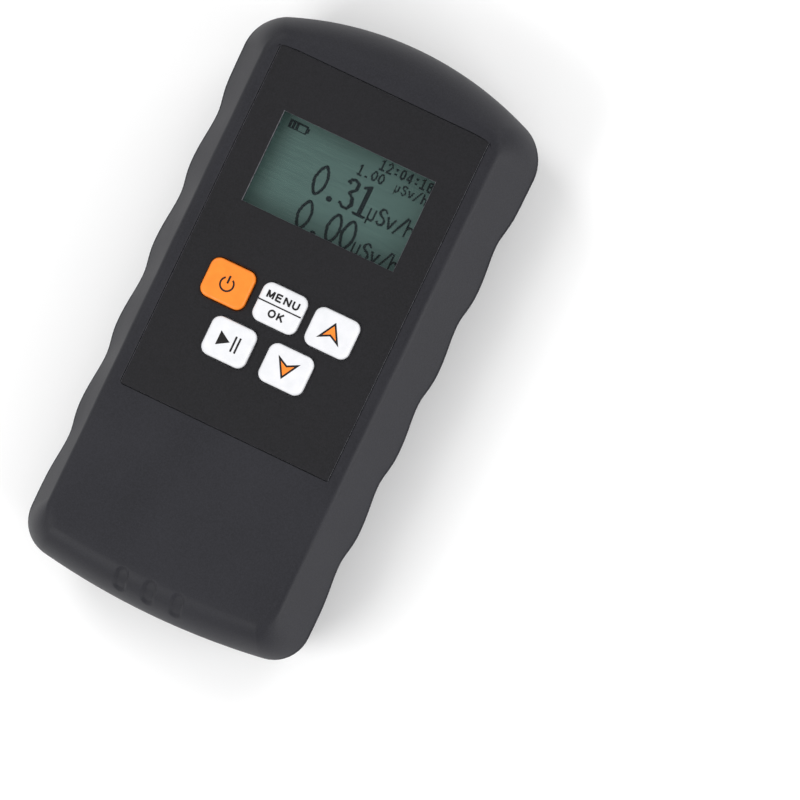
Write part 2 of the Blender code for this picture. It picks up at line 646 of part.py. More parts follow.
# ---- Display ----
def display():
    centre = (0.0, WINDOW_CENTRE_Y)
    pane = (WINDOW_WIDTH + 2 * PANE_OVERLAP, WINDOW_HEIGHT + 2 * PANE_OVERLAP)
    centred_box("display_pane", centre, pane, PANE_BOTTOM_Z, PANE_TOP_Z, CLEAR_PANE)
    lcd = (LCD_WIDTH, LCD_HEIGHT)
    centred_box("lcd_glass", centre, lcd, LCD_BOTTOM_Z, LCD_TOP_Z, LCD_GREEN)
    centred_box("lcd_backlight", centre, lcd, BACKLIGHT_BOTTOM_Z, BACKLIGHT_TOP_Z, DIFFUSER)
    hollow = (LCD_WIDTH + 2 * GAP, LCD_HEIGHT + 2 * GAP)
    outer = (hollow[0] + 2 * LCD_BEZEL_WALL, hollow[1] + 2 * LCD_BEZEL_WALL)
    view = (WINDOW_WIDTH + 2 * LCD_BEZEL_WALL, WINDOW_HEIGHT + 2 * LCD_BEZEL_WALL)
    bezel = centred_box("lcd_bezel", centre, outer, BOARD_TOP_Z + GAP, BEZEL_TOP_Z, STEEL)
    boolean(
        bezel, "DIFFERENCE",
        centred_box("bezel_hollow", centre, hollow, BOARD_TOP_Z - FAR, LCD_TOP_Z + GAP),
        centred_box("bezel_view", centre, view, BOARD_TOP_Z - FAR, BEZEL_TOP_Z + FAR),
    )


# ---- Keys and switches ----
def key_cap(key, place):
    """A stem, a flange that stops under the shell, and a cap with a rounded rim, in one moulding."""
    levels = [
        (KEY_STEM, KEY_STEM, KEY_STEM / 4, STEM_BOTTOM_Z),
        (KEY_STEM, KEY_STEM, KEY_STEM / 4, FLANGE_BOTTOM_Z),
        (FLANGE_WIDTH, FLANGE_HEIGHT, KEY_CORNER + KEY_FLANGE, FLANGE_BOTTOM_Z),
        (FLANGE_WIDTH, FLANGE_HEIGHT, KEY_CORNER + KEY_FLANGE, FLANGE_TOP_Z),
        (KEY_WIDTH, KEY_HEIGHT, KEY_CORNER, FLANGE_TOP_Z),
    ]
    for step in range(3):
        turn = step * math.pi / 4
        drawn_in = KEY_EDGE * (1 - math.cos(turn))
        z = KEY_TOP_Z - KEY_EDGE * (1 - math.sin(turn))
        levels.append((KEY_WIDTH - 2 * drawn_in, KEY_HEIGHT - 2 * drawn_in, KEY_CORNER - drawn_in, z))
    rings = [rounded_ring(place, *level) for level in levels]
    return finish(f"key_{key}", loft(rings), KEY_ORANGE if key == "power" else KEY_WHITE)


def key_switch(key, place):
    body = centred_box(
        f"switch_{key}", place, (SWITCH_SIDE, SWITCH_SIDE), SWITCH_BOTTOM_Z, SWITCH_TOP_Z, CHIP_BLACK
    )
    plunger_foot = SWITCH_TOP_Z - PLUNGER_SEAT
    boolean(body, "DIFFERENCE", cylinder(
        f"switch_{key}_bore", *place, PLUNGER_RADIUS + GAP,
        plunger_foot - PLUNGER_TRAVEL_ROOM, SWITCH_TOP_Z + FAR, sides=12,
    ))
    cylinder(f"plunger_{key}", *place, PLUNGER_RADIUS, plunger_foot, PLUNGER_TOP_Z, CHIP_BLACK, 12)


# ---- Circuit board and what stands on it ----
def board_screw_rows():
    return (("top", BOARD_TOP_Y - BOARD_SCREW_INSET), ("heel", BOARD_HEEL_Y + BOARD_SCREW_INSET))


def cross_recess(screw, centre, head_radius, head_base, head_height):
    """Cuts the two bars of a cross into the screw's head, from below."""
    bar = (2 * head_radius * CROSS_REACH, 2 * head_radius * CROSS_WIDTH)
    depth = head_height * CROSS_DEPTH
    for size, label in ((bar, "along_x"), (bar[::-1], "along_y")):
        boolean(screw, "DIFFERENCE", centred_box(
            f"{screw.name}_cross_{label}", centre, size, head_base - depth, head_base + depth))
    return screw


def board_screw(name, x, y):
    shaft_top = FRONT_INNER_Z - 2 * GAP
    head_top = BOARD_BOTTOM_Z - GAP
    profile = [
        (SCREW_HEAD_RADIUS, head_top - SCREW_HEAD_HEIGHT),
        (SCREW_HEAD_RADIUS, head_top),
        (SCREW_RADIUS, head_top),
        (SCREW_RADIUS, shaft_top),
    ]
    screw = turned(name, profile, upright(x, y), STEEL, 12)
    return cross_recess(screw, (x, y), SCREW_HEAD_RADIUS, head_top - SCREW_HEAD_HEIGHT, SCREW_HEAD_HEIGHT)


def main_board():
    middle_y = (BOARD_TOP_Y + BOARD_HEEL_Y) / 2
    board = centred_box(
        "main_board", (0.0, middle_y), (BOARD_WIDTH, BOARD_TOP_Y - BOARD_HEEL_Y),
        BOARD_BOTTOM_Z, BOARD_TOP_Z, BOARD_GREEN,
    )
    for end, y in board_screw_rows():
        for side, label in ((-1, "left"), (1, "right")):
            x = side * BOARD_SCREW_X
            boolean(board, "DIFFERENCE", cylinder(
                f"board_hole_{end}_{label}", x, y, SCREW_RADIUS + GAP,
                BOARD_BOTTOM_Z - FAR, BOARD_TOP_Z + FAR, sides=12,
            ))
            board_screw(f"board_screw_{end}_{label}", x, y)


def board_parts():
    """Parts soldered to the board's underside, clear of the detector tube that leans below it."""
    hang = BOARD_BOTTOM_Z - GAP
    left = -BOARD_WIDTH / 2
    right = BOARD_WIDTH / 2
    centred_box(
        "processor", (left + PROCESSOR_SPOT[0], BOARD_TOP_Y - PROCESSOR_SPOT[1]),
        (PROCESSOR_SIDE, PROCESSOR_SIDE), hang - PROCESSOR_HEIGHT, hang, CHIP_BLACK,
    )
    centred_box(
        "crystal", (left + CRYSTAL_SPOT[0], BOARD_TOP_Y - CRYSTAL_SPOT[1]),
        CRYSTAL_SIZE, hang - CRYSTAL_HEIGHT, hang, NICKEL,
    )
    cylinder(
        "buzzer", right - BUZZER_SPOT[0], BOARD_HEEL_Y + BUZZER_SPOT[1],
        BUZZER_RADIUS, hang - BUZZER_HEIGHT, hang, CHIP_BLACK,
    )
    hv_inductor(right - INDUCTOR_SPOT[0], BOARD_HEEL_Y + INDUCTOR_SPOT[1], hang)
    for index, height in enumerate(CAPACITOR_HEIGHTS):
        tip = hang - height
        profile = [
            (CAPACITOR_RADIUS - CAPACITOR_EDGE, tip),
            (CAPACITOR_RADIUS, tip + CAPACITOR_EDGE),
            (CAPACITOR_RADIUS, hang),
        ]
        place = upright(
            right - CAPACITOR_SPOT[0] - CAPACITOR_PITCH * index, BOARD_HEEL_Y + CAPACITOR_SPOT[1]
        )
        turned(f"hv_capacitor_{index + 1}", profile, place, TUBE_METAL, 16)


def hv_inductor(x, y, hang):
    """A ferrite bobbin: a core between two flanges."""
    tip = hang - INDUCTOR_HEIGHT
    profile = [
        (INDUCTOR_FLANGE_RADIUS, tip),
        (INDUCTOR_FLANGE_RADIUS, tip + INDUCTOR_FLANGE_THICKNESS),
        (INDUCTOR_CORE_RADIUS, tip + INDUCTOR_FLANGE_THICKNESS),
        (INDUCTOR_CORE_RADIUS, hang - INDUCTOR_FLANGE_THICKNESS),
        (INDUCTOR_FLANGE_RADIUS, hang - INDUCTOR_FLANGE_THICKNESS),
        (INDUCTOR_FLANGE_RADIUS, hang),
    ]
    turned("hv_inductor", profile, upright(x, y), FERRITE, 20)


# ---- Detector ----
def tube_place(along):
    """Local Z runs along the tube, towards its top end."""
    spot = Vector((TUBE_CENTRE_X, TUBE_CENTRE_Y, TUBE_AXIS_Z)) + TUBE_DIRECTION * along
    turn = Matrix.Rotation(-TUBE_LEAN, 4, "Z") @ Matrix.Rotation(-math.pi / 2, 4, "X")
    return Matrix.Translation(spot) @ turn


def detector_tube():
    half = TUBE_LENGTH / 2
    profile = [
        (TUBE_NECK_RADIUS, -half), (TUBE_RADIUS, -half + TUBE_SHOULDER),
        (TUBE_RADIUS, half - TUBE_SHOULDER), (TUBE_NECK_RADIUS, half),
    ]
    turned("detector_tube", profile, tube_place(0.0), TUBE_METAL)
    for sign, label in ((-1, "heel"), (1, "top")):
        middle = sign * (half + GAP + TUBE_CAP_LENGTH / 2)
        reach = TUBE_CAP_LENGTH / 2
        cap = [(TUBE_CAP_RADIUS, -reach), (TUBE_CAP_RADIUS, reach)]
        turned(f"tube_cap_{label}", cap, tube_place(middle), NICKEL, 16)
        tube_clip(f"tube_clip_{label}", middle)


def tube_clip(name, along):
    """A strip bent round the cap, open at the bottom, with a post that reaches the board."""
    inner = TUBE_CAP_RADIUS + GAP
    outer = inner + CLIP_THICKNESS
    steps = 12
    sweep = 2 * math.pi - 2 * CLIP_OPENING
    turns = [-math.pi / 2 + CLIP_OPENING + i * sweep / steps for i in range(steps + 1)]
    arc_out = [(outer * math.cos(a), outer * math.sin(a)) for a in turns]
    arc_in = [(inner * math.cos(a), inner * math.sin(a)) for a in reversed(turns)]
    place = tube_place(along) @ Matrix.Rotation(math.pi, 4, "Z")
    rings = [
        [place @ Vector((x, y, along_tube)) for x, y in arc_out + arc_in]
        for along_tube in (-CLIP_WIDTH / 2, CLIP_WIDTH / 2)
    ]
    clip = finish(name, loft(rings), NICKEL)
    foot = (inner + outer) / 2
    spot = tube_place(along).to_translation()
    half = CLIP_POST_WIDTH / 2
    turn = Matrix.Rotation(-TUBE_LEAN, 4, "Z")
    post_rings = [
        [turn @ Vector((x, y, 0)) + Vector((spot.x, spot.y, z)) for x, y in
         ((-half, -half), (half, -half), (half, half), (-half, half))]
        for z in (TUBE_AXIS_Z + foot, BOARD_BOTTOM_Z - GAP)
    ]
    return boolean(clip, "UNION", finish(f"{name}_post", loft(post_rings), NICKEL))


def detector_holes():
    """Cutters for the row of holes that follows the tube."""
    holes = []
    for index in range(HOLE_COUNT):
        along = (index - (HOLE_COUNT - 1) / 2) * HOLE_PITCH
        x = TUBE_CENTRE_X + TUBE_DIRECTION.x * along
        y = TUBE_CENTRE_Y + TUBE_DIRECTION.y * along
        holes.append(cylinder(f"detector_hole_{index}", x, y, HOLE_RADIUS, -FAR, WALL + FAR, sides=12))
    return holes


# ---- Back shell ----
def door_space(name, half_width, top_y, rise):
    """The block of space that the door is cut from."""
    return box(name, (-half_width, -HALF_LENGTH - FAR, -FAR), (half_width, top_y, rise))


def door_recess():
    recess = door_space("door_recess", DOOR_HALF_WIDTH + GAP, DOOR_TOP_Y + GAP, DOOR_RISE + GAP)
    return boolean(recess, "DIFFERENCE", back_body("recess_floor", DOOR_SEAT))


def back_shell():
    shell = body_shell("back_shell", 0.0, PARTING_Z - GAP / 2, WALL, SHELL_BLACK)
    liner = boolean(
        door_space("liner", DOOR_HALF_WIDTH + GAP + DOOR_WALL / 2, DOOR_TOP_Y + DOOR_WALL, DOOR_RISE + DOOR_WALL),
        "INTERSECT", back_body("liner_outside", WALL / 3, side_inset=WALL / 3),
    )
    boolean(liner, "DIFFERENCE", back_body("liner_inside", DOOR_SEAT + DOOR_WALL, side_inset=WALL))
    wall = COMPARTMENT_WALL
    case = box(
        "compartment_case",
        (-COMPARTMENT_HALF - wall, COMPARTMENT_MIN_Y - wall, DOOR_SEAT + DOOR_WALL / 2),
        (COMPARTMENT_HALF + wall, COMPARTMENT_MAX_Y + wall, COMPARTMENT_TOP_Z + wall),
    )
    slot_top = DOOR_THICKNESS + SLIDE_ROOM
    pad = centred_box(
        "tongue_pad", (0.0, DOOR_TOP_Y + TONGUE_LENGTH / 2),
        (TONGUE_WIDTH + 4 * GAP + 2 * TONGUE_PAD, TONGUE_LENGTH + 4 * GAP + 2 * TONGUE_PAD),
        WALL / 2, slot_top + TONGUE_PAD,
    )
    boolean(shell, "UNION", liner, case, pad)
    for side, label in ((-1, "left"), (1, "right")):
        boss = CASE_SCREW_HEAD_RADIUS + GAP + BOSS_WALL
        boolean(shell, "UNION", cylinder(
            f"heel_boss_{label}", side * CASE_SCREW_X, CASE_SCREW_Y, boss,
            DOOR_SEAT + DOOR_WALL, BOSS_MEET_Z,
        ))
    hollow = box(
        "compartment_hollow",
        (-COMPARTMENT_HALF, COMPARTMENT_MIN_Y, -FAR),
        (COMPARTMENT_HALF, COMPARTMENT_MAX_Y, COMPARTMENT_TOP_Z),
    )
    slot = box(
        "tongue_slot",
        (-TONGUE_WIDTH / 2 - GAP, COMPARTMENT_MAX_Y - GAP, DOOR_THICKNESS - TONGUE_THICKNESS - GAP),
        (TONGUE_WIDTH / 2 + GAP, DOOR_TOP_Y + TONGUE_LENGTH + GAP, slot_top),
    )
    boolean(shell, "DIFFERENCE", door_recess(), hollow, slot)
    for side, label in ((-1, "left"), (1, "right")):
        reach = DOOR_HALF_WIDTH + LUG_REACH + GAP
        inner = DOOR_HALF_WIDTH - FAR / 4
        low_x, high_x = sorted((side * inner, side * reach))
        groove = box(
            f"lug_groove_{label}",
            (low_x, -HALF_LENGTH - FAR, DOOR_THICKNESS - LUG_HEIGHT - GAP),
            (high_x, LUG_Y + LUG_LENGTH / 2 + GAP, DOOR_THICKNESS + SLIDE_ROOM),
        )
        seat = cylinder(
            f"screw_seat_{label}", side * CASE_SCREW_X, CASE_SCREW_Y,
            CASE_SCREW_HEAD_RADIUS + GAP, -FAR, CASE_SCREW_SEAT_Z,
        )
        bore = cylinder(
            f"screw_hole_{label}", side * CASE_SCREW_X, CASE_SCREW_Y,
            CASE_SCREW_RADIUS + GAP, -FAR, BOSS_MEET_Z + FAR, sides=16,
        )
        boolean(shell, "DIFFERENCE", groove, seat, bore)
    access = cylinder(
        "access_hole", ACCESS_HOLE_X, CASE_SCREW_Y, ACCESS_HOLE_RADIUS, -FAR, DOOR_SEAT + DOOR_WALL + FAR
    )
    return boolean(shell, "DIFFERENCE", access, *detector_holes())


def case_screw(side, label):
    head_base = CASE_SCREW_HEAD_Z
    head_top = head_base + CASE_SCREW_HEAD_HEIGHT
    profile = [
        (CASE_SCREW_HEAD_RADIUS * CASE_SCREW_CROWN, head_base),
        (CASE_SCREW_HEAD_RADIUS, head_base + CASE_SCREW_HEAD_HEIGHT / 2),
        (CASE_SCREW_HEAD_RADIUS, head_top),
        (CASE_SCREW_RADIUS, head_top),
        (CASE_SCREW_RADIUS, CASE_SCREW_TIP_Z),
    ]
    centre = (side * CASE_SCREW_X, CASE_SCREW_Y)
    screw = turned(f"case_screw_{label}", profile, upright(*centre), STEEL, 16)
    cross_recess(screw, centre, CASE_SCREW_HEAD_RADIUS, head_base, CASE_SCREW_HEAD_HEIGHT)


# ---- Battery door ----
def battery_door():
    """A skin of the back shell's own surface, so that it closes flush and wraps the heel."""
    door = back_body("battery_door", 0.0, SHELL_BLACK)
    space = door_space("door_outline", DOOR_HALF_WIDTH, DOOR_TOP_Y, DOOR_RISE)
    boolean(door, "INTERSECT", space)
    boolean(door, "DIFFERENCE", back_body("door_inside", DOOR_THICKNESS))
    tongue = box(
        "door_tongue",
        (-TONGUE_WIDTH / 2, DOOR_TOP_Y - DOOR_ROOT, DOOR_THICKNESS - TONGUE_THICKNESS),
        (TONGUE_WIDTH / 2, DOOR_TOP_Y + TONGUE_LENGTH, DOOR_THICKNESS - GAP / 10),
    )
    boolean(door, "UNION", tongue)
    for side, label in ((-1, "left"), (1, "right")):
        low_x, high_x = sorted((side * (DOOR_HALF_WIDTH - DOOR_ROOT), side * (DOOR_HALF_WIDTH + LUG_REACH)))
        boolean(door, "UNION", box(
            f"door_lug_{label}",
            (low_x, LUG_Y - LUG_LENGTH / 2, DOOR_THICKNESS - LUG_HEIGHT),
            (high_x, LUG_Y + LUG_LENGTH / 2, DOOR_THICKNESS - GAP / 10),
        ))
    for index in range(RIDGE_COUNT):
        y = DOOR_TOP_Y - RIDGE_FIRST - index * RIDGE_PITCH
        boolean(door, "DIFFERENCE", centred_box(
            f"grip_groove_{index}", (0.0, y), (RIDGE_WIDTH, RIDGE_CUT), -FAR, RIDGE_DEPTH))


# ---- Cells and contacts ----
def across(y, x, sign):
    """Local Z runs along +X or -X from the point."""
    return Matrix.Translation((x, y, CELL_AXIS_Z)) @ Matrix.Rotation(sign * math.pi / 2, 4, "Y")


def cell(name, y, sign):
    """A round cell whose nub points to the wall on the sign side."""
    start = -sign * (COMPARTMENT_HALF - SPRING_END_ROOM)
    shoulder = CELL_LENGTH - CELL_NUB_LENGTH
    profile = [
        (CELL_RADIUS - CELL_EDGE, 0.0), (CELL_RADIUS, CELL_EDGE),
        (CELL_RADIUS, shoulder - CELL_EDGE), (CELL_RADIUS - CELL_EDGE, shoulder),
        (CELL_NUB_RADIUS, shoulder), (CELL_NUB_RADIUS, CELL_LENGTH),
    ]
    turned(name, profile, across(y, start, sign), CELL_SLEEVE, 32)


def contact_spring(name, y, sign):
    """A conical coil on the wall on the sign side; its wide turn sits on the contact plate."""
    wall = sign * (COMPARTMENT_HALF - GAP - CONTACT_THICKNESS - GAP - SPRING_WIRE)
    reach = SPRING_LENGTH - 2 * SPRING_WIRE
    steps = SPRING_TURNS * SPRING_STEPS
    points = []
    for step in range(steps + 1):
        share = step / steps
        turn = 2 * math.pi * SPRING_TURNS * share
        radius = SPRING_RADIUS + (SPRING_TIP_RADIUS - SPRING_RADIUS) * share
        points.append((
            wall - sign * reach * share,
            y + radius * math.cos(turn),
            CELL_AXIS_Z + radius * math.sin(turn),
        ))
    wire(name, points, SPRING_WIRE, NICKEL, resolution=0)


def contact_plate(name, side, low_y, high_y):
    outer = side * (COMPARTMENT_HALF - GAP)
    inner = outer - side * CONTACT_THICKNESS
    low_x, high_x = sorted((inner, outer))
    half = CONTACT_HEIGHT / 2
    box(name, (low_x, low_y, CELL_AXIS_Z - half), (high_x, high_y, CELL_AXIS_Z + half), NICKEL)


def contacts():
    half = CONTACT_WIDTH / 2
    contact_plate("bridge_plate", 1, LOWER_CELL_Y - half, UPPER_CELL_Y + half)
    contact_plate("negative_plate", -1, UPPER_CELL_Y - half, UPPER_CELL_Y + half)
    contact_plate("positive_plate", -1, LOWER_CELL_Y - half, LOWER_CELL_Y + half)
    contact_spring("bridge_spring", LOWER_CELL_Y, 1)
    contact_spring("negative_spring", UPPER_CELL_Y, -1)


def supply_wires():
    """Two leads that run level over the compartment's roof, then bend in under the board."""
    start_z = COMPARTMENT_TOP_Z + COMPARTMENT_WALL + GAP + SUPPLY_WIRE_RADIUS
    end_z = BOARD_BOTTOM_Z - GAP - SUPPLY_WIRE_RADIUS
    bend_from = COMPARTMENT_MAX_Y + COMPARTMENT_WALL + SUPPLY_WIRE_RADIUS
    bend_to = BOARD_HEEL_Y - GAP - SUPPLY_WIRE_RADIUS
    end_y = BOARD_HEEL_Y + SUPPLY_WIRE_REACH
    for name, start_x, start_y, surface in (
        ("supply_wire_red", RED_WIRE_X, LOWER_CELL_Y, WIRE_RED),
        ("supply_wire_black", BLACK_WIRE_X, UPPER_CELL_Y, WIRE_BLACK),
    ):
        points = []
        for step in range(SUPPLY_WIRE_STEPS + 1):
            share = step / SUPPLY_WIRE_STEPS
            x = start_x + SUPPLY_WIRE_BOW * math.sin(math.pi * share)
            y = start_y + (end_y - start_y) * share
            bent = min(max((y - bend_from) / (bend_to - bend_from), 0.0), 1.0)
            ease = bent * bent * (3 - 2 * bent)
            points.append((x, y, start_z + (end_z - start_z) * ease))
        wire(name, points, SUPPLY_WIRE_RADIUS, surface)


front_shell()
front_panel()
display()
for key_name, key_place in KEYS.items():
    key_cap(key_name, key_place)
    key_switch(key_name, key_place)
main_board()
board_parts()
detector_tube()
back_shell()
for screw_side, screw_label in ((-1, "left"), (1, "right")):
    case_screw(screw_side, screw_label)
battery_door()
cell("cell_upper", UPPER_CELL_Y, 1)
cell("cell_lower", LOWER_CELL_Y, -1)
contacts()
supply_wires()
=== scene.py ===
# %% [markdown]
# # A handheld radiation survey meter
# This lesson builds the looks of a pocket Geiger counter round its CAD frame. The frame fixes every
# size and every moving part; here each piece gets its fine surface and its finish. The meter lies on
# its back: +X is to the reader's right, +Y runs to the arched top end and +Z comes out of the display.

import math

import bmesh
import bpy
import numpy as np
from mathutils import Matrix, Vector


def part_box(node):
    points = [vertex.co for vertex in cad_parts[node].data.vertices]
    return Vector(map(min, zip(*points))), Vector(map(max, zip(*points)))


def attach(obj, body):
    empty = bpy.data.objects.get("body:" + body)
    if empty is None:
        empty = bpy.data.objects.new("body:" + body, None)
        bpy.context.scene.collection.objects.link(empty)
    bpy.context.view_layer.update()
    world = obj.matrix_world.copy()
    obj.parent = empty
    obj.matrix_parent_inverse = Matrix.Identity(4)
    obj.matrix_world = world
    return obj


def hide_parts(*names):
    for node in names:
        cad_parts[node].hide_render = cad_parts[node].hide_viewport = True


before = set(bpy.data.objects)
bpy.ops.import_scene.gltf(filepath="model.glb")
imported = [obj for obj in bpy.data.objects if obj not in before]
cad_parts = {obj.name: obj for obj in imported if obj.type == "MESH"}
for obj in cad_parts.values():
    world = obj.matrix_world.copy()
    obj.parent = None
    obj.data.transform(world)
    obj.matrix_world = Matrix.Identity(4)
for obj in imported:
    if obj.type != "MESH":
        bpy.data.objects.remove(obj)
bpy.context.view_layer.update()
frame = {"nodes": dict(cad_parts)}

# %% [markdown]
# ## Measuring in millimetres
# Blender works in metres, and a pocket instrument is easier to think about in millimetres. Every
# shape below is worked out in millimetres and scaled once, where its mesh is made. Places are read
# from the frame's boxes, so a new size in the CAD model moves the looks with it.

# %% Millimetres and boxes
MM = 0.001


def span(node):
    """A CAD node's lowest and highest corners, in millimetres."""
    low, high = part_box(node)
    return np.array(low) / MM, np.array(high) / MM


FACE_Z = span("front_shell")[1][2]
HALF_LENGTH = span("front_shell")[1][1]
PARTING_Z = 18.7
GAP = 0.3  # left between pieces that rest on each other
WALL = 2.4
FAR = 9.0  # how far a cutter reaches past the surface it opens
print(f"front face at z {FACE_Z:.1f} mm, half length {HALF_LENGTH:.1f} mm")

# %% [markdown]
# ## Turning arrays into meshes
# A turned or lofted surface is a grid: rows of points, each row a closed ring. Numpy can number the
# corners of all its quads at once, which is much faster than a Python loop. The helper closes both
# ends with a middle point and checks the enclosed volume, so that every face points outwards.


# %% Grid to mesh
def linked(name, data):
    """A new object with that mesh, lamp or camera, put in the scene."""
    made = bpy.data.objects.new(name, data)
    bpy.context.scene.collection.objects.link(made)
    return made


def new_piece(name, points, faces, sharp_degrees=40.0):
    """A named object at the origin from points in millimetres and lists of corner numbers."""
    mesh = bpy.data.meshes.new(name)
    mesh.from_pydata(np.asarray(points) * MM, [], faces)
    mesh.validate()
    mesh.shade_smooth()
    mesh.set_sharp_from_angle(angle=math.radians(sharp_degrees))
    return linked(name, mesh)


def ring_faces(rows, columns, wrap):
    """Quads of a grid whose columns close on themselves: corner (i, j) is number i * columns + j."""
    i, j = np.meshgrid(np.arange(rows if wrap else rows - 1), np.arange(columns), indexing="ij")
    right, here, below = (j + 1) % columns, i * columns, (i + 1) % rows * columns
    return np.stack([here + j, here + right, below + right, below + j], -1).reshape(-1, 4)


def ring_solid(rings, wrap=False):
    """(points, faces) of a closed solid through the rings; without wrap, each end gets a middle point.

    Its signed volume is the sum of det(a, b, c) / 6 over its triangles; a negative one turns the faces.
    """
    rings = np.asarray(rings, float)
    rows, columns = rings.shape[:2]
    points = rings.reshape(-1, 3)
    quads = ring_faces(rows, columns, wrap)
    corners = points[quads]
    volume = np.linalg.det(corners[:, [0, 1, 2]]).sum() + np.linalg.det(corners[:, [0, 2, 3]]).sum()
    faces = [quads]
    if not wrap:
        around = np.arange(columns)
        after = (around + 1) % columns
        first, last = len(points), len(points) + 1
        points = np.vstack([points, rings[0].mean(0), rings[-1].mean(0)])
        caps = [np.stack([np.full(columns, first), after, around], -1)]
        base = (rows - 1) * columns
        caps.append(np.stack([np.full(columns, last), base + around, base + after], -1))
        volume += sum(np.linalg.det(points[cap]).sum() for cap in caps)
        faces += caps
    turn = slice(None, None, -1) if volume < 0 else slice(None)
    return points, [face[turn] for group in faces for face in group.tolist()]


def lofted(name, rings, wrap=False, sharp_degrees=40.0):
    """A named piece through the rings."""
    return new_piece(name, *ring_solid(rings, wrap), sharp_degrees)


def level(flat, z):
    """A flat outline of (x, y) points raised to height z."""
    flat = np.asarray(flat, float)
    return np.column_stack([flat[:, :2], np.full(len(flat), float(z))])


# %% [markdown]
# ## The body's outline
# Seen from the front the body is a long shield: a strongly arched top, a nearly straight heel, and
# sides that taper a little and dip five times where the fingers lie. Each dip is a bell curve that
# is steeper on its upper side. The flat face has its own outline, narrower and without the dips,
# and the surface between the two is worked out from matching points on both.

# %% Outline of the body
SHOULDER_HALF = 40.5
HEEL_HALF = 38.9
FACE_HALF = 32.5
TOP_ROLL = 10.5  # the flat face stops this far short of the top end
HEEL_ROLL = 9.3
TOP_ARCH = 89.0  # radius of the widest section's top end
HEEL_ARCH = 200.0
TOP_CORNER = 11.5
HEEL_CORNER = 9.5
FACE_ARCH = 300.0
FACE_CORNER = 5.0
GRIP_COUNT = 5
GRIP_FIRST_Y = 42.0
GRIP_PITCH = 22.0
GRIP_DEPTH = 1.1
GRIP_RISE_ABOVE = 5.0
GRIP_RISE_BELOW = 8.0


def grip_dip(y):
    """Sum over the five grips of depth * exp(-(distance / rise) squared)."""
    away = np.asarray(y)[:, None] - (GRIP_FIRST_Y - GRIP_PITCH * np.arange(GRIP_COUNT))
    rise = np.where(away > 0, GRIP_RISE_ABOVE, GRIP_RISE_BELOW)
    return (GRIP_DEPTH * np.exp(-((away / rise) ** 2))).sum(1)


def outline(halves, ends, arches, corners, dips, steps):
    """A closed outline of (x, y, endness) rows, anticlockwise from the middle of the heel.

    Each end is an arc of its arch radius centred on x = 0, each corner a fillet between that arc and
    the side, and each side a straight line less its dips. Endness is 1 on the ends, 0 on the sides
    and runs evenly between them round the corners. halves, ends, arches and corners are
    (top, heel) pairs, and steps is (heel end, corner, side, top end).
    """
    parts = []
    turns, centres = [], []
    for half, end, arch, corner in zip(halves, (ends[0], -ends[1]), arches, corners):
        across = half - corner
        centres.append((across, end - arch + math.sqrt((arch - corner) ** 2 - across**2)))
        turns.append(math.asin(across / (arch - corner)))
    (top_x, top_y), (heel_x, heel_y) = centres
    turn = np.linspace(0, turns[1], steps[0], endpoint=False)
    parts.append(np.column_stack([arches[1] * np.sin(turn), ends[1] + arches[1] * (1 - np.cos(turn)),
                                  turn * 0 + 1]))
    share = np.arange(steps[1]) / steps[1]
    turn = turns[1] + (math.pi / 2 - turns[1]) * share
    parts.append(np.column_stack([heel_x + corners[1] * np.sin(turn),
                                  -heel_y - corners[1] * np.cos(turn), 1 - share]))
    share = np.linspace(0, 1, steps[2])
    y = -heel_y + (top_y + heel_y) * share
    x = halves[1] + (halves[0] - halves[1]) * share - (grip_dip(y) if dips else 0)
    parts.append(np.column_stack([x, y, y * 0]))
    share = np.arange(1, steps[1] + 1) / steps[1]
    turn = math.pi / 2 + (turns[0] - math.pi / 2) * share
    parts.append(np.column_stack([top_x + corners[0] * np.sin(turn), top_y + corners[0] * np.cos(turn),
                                  share]))
    turn = turns[0] * (1 - np.arange(1, steps[3] + 1) / steps[3])
    parts.append(np.column_stack([arches[0] * np.sin(turn), ends[0] - arches[0] * (1 - np.cos(turn)),
                                  turn * 0 + 1]))
    right = np.vstack(parts)
    return np.vstack([right, (right * (-1, 1, 1))[-2:0:-1]])


def parting_outline(inset, side_inset, steps):
    """The outline at the parting plane, the widest section, drawn in by the insets."""
    return outline(
        (SHOULDER_HALF - side_inset, HEEL_HALF - side_inset),
        (HALF_LENGTH - inset, -HALF_LENGTH + inset),
        (TOP_ARCH - inset, HEEL_ARCH - inset), (TOP_CORNER - inset, HEEL_CORNER - inset), True, steps)


def face_outline(inset, side_inset, steps):
    """The outline of the flat front or back face, drawn in by the insets."""
    corner = max(FACE_CORNER - inset, 1.0)
    return outline(
        (FACE_HALF - side_inset,) * 2,
        (HALF_LENGTH - TOP_ROLL - inset, -HALF_LENGTH + HEEL_ROLL + inset),
        (FACE_ARCH - inset,) * 2, (corner, corner), False, steps)


FINE = (110, 12, 230, 46)
MEDIUM = (40, 10, 190, 40)
COARSE = (8, 5, 34, 8)
print("widest half width:", round(parting_outline(0, 0, FINE)[:, 0].max(), 2), "mm")

# %% [markdown]
# ## Rolling the face into the sides
# Along the sides the wall is a straight slope below a soft crease; at the two ends it rolls over in
# a quarter ellipse. Blending the two by endness gives corners that change smoothly from one to the
# other. A moulding never has a knife edge, so the crease is a small quadratic curve whose middle
# control point is the sharp corner.

# %% Body surface
CREASE = 1.5  # how far the crease's rounding reaches on each side
CREASE_SHARE = 0.09  # the same reach, as a share of the slope
LIP = 0.35  # radius of the rounding at the parting plane


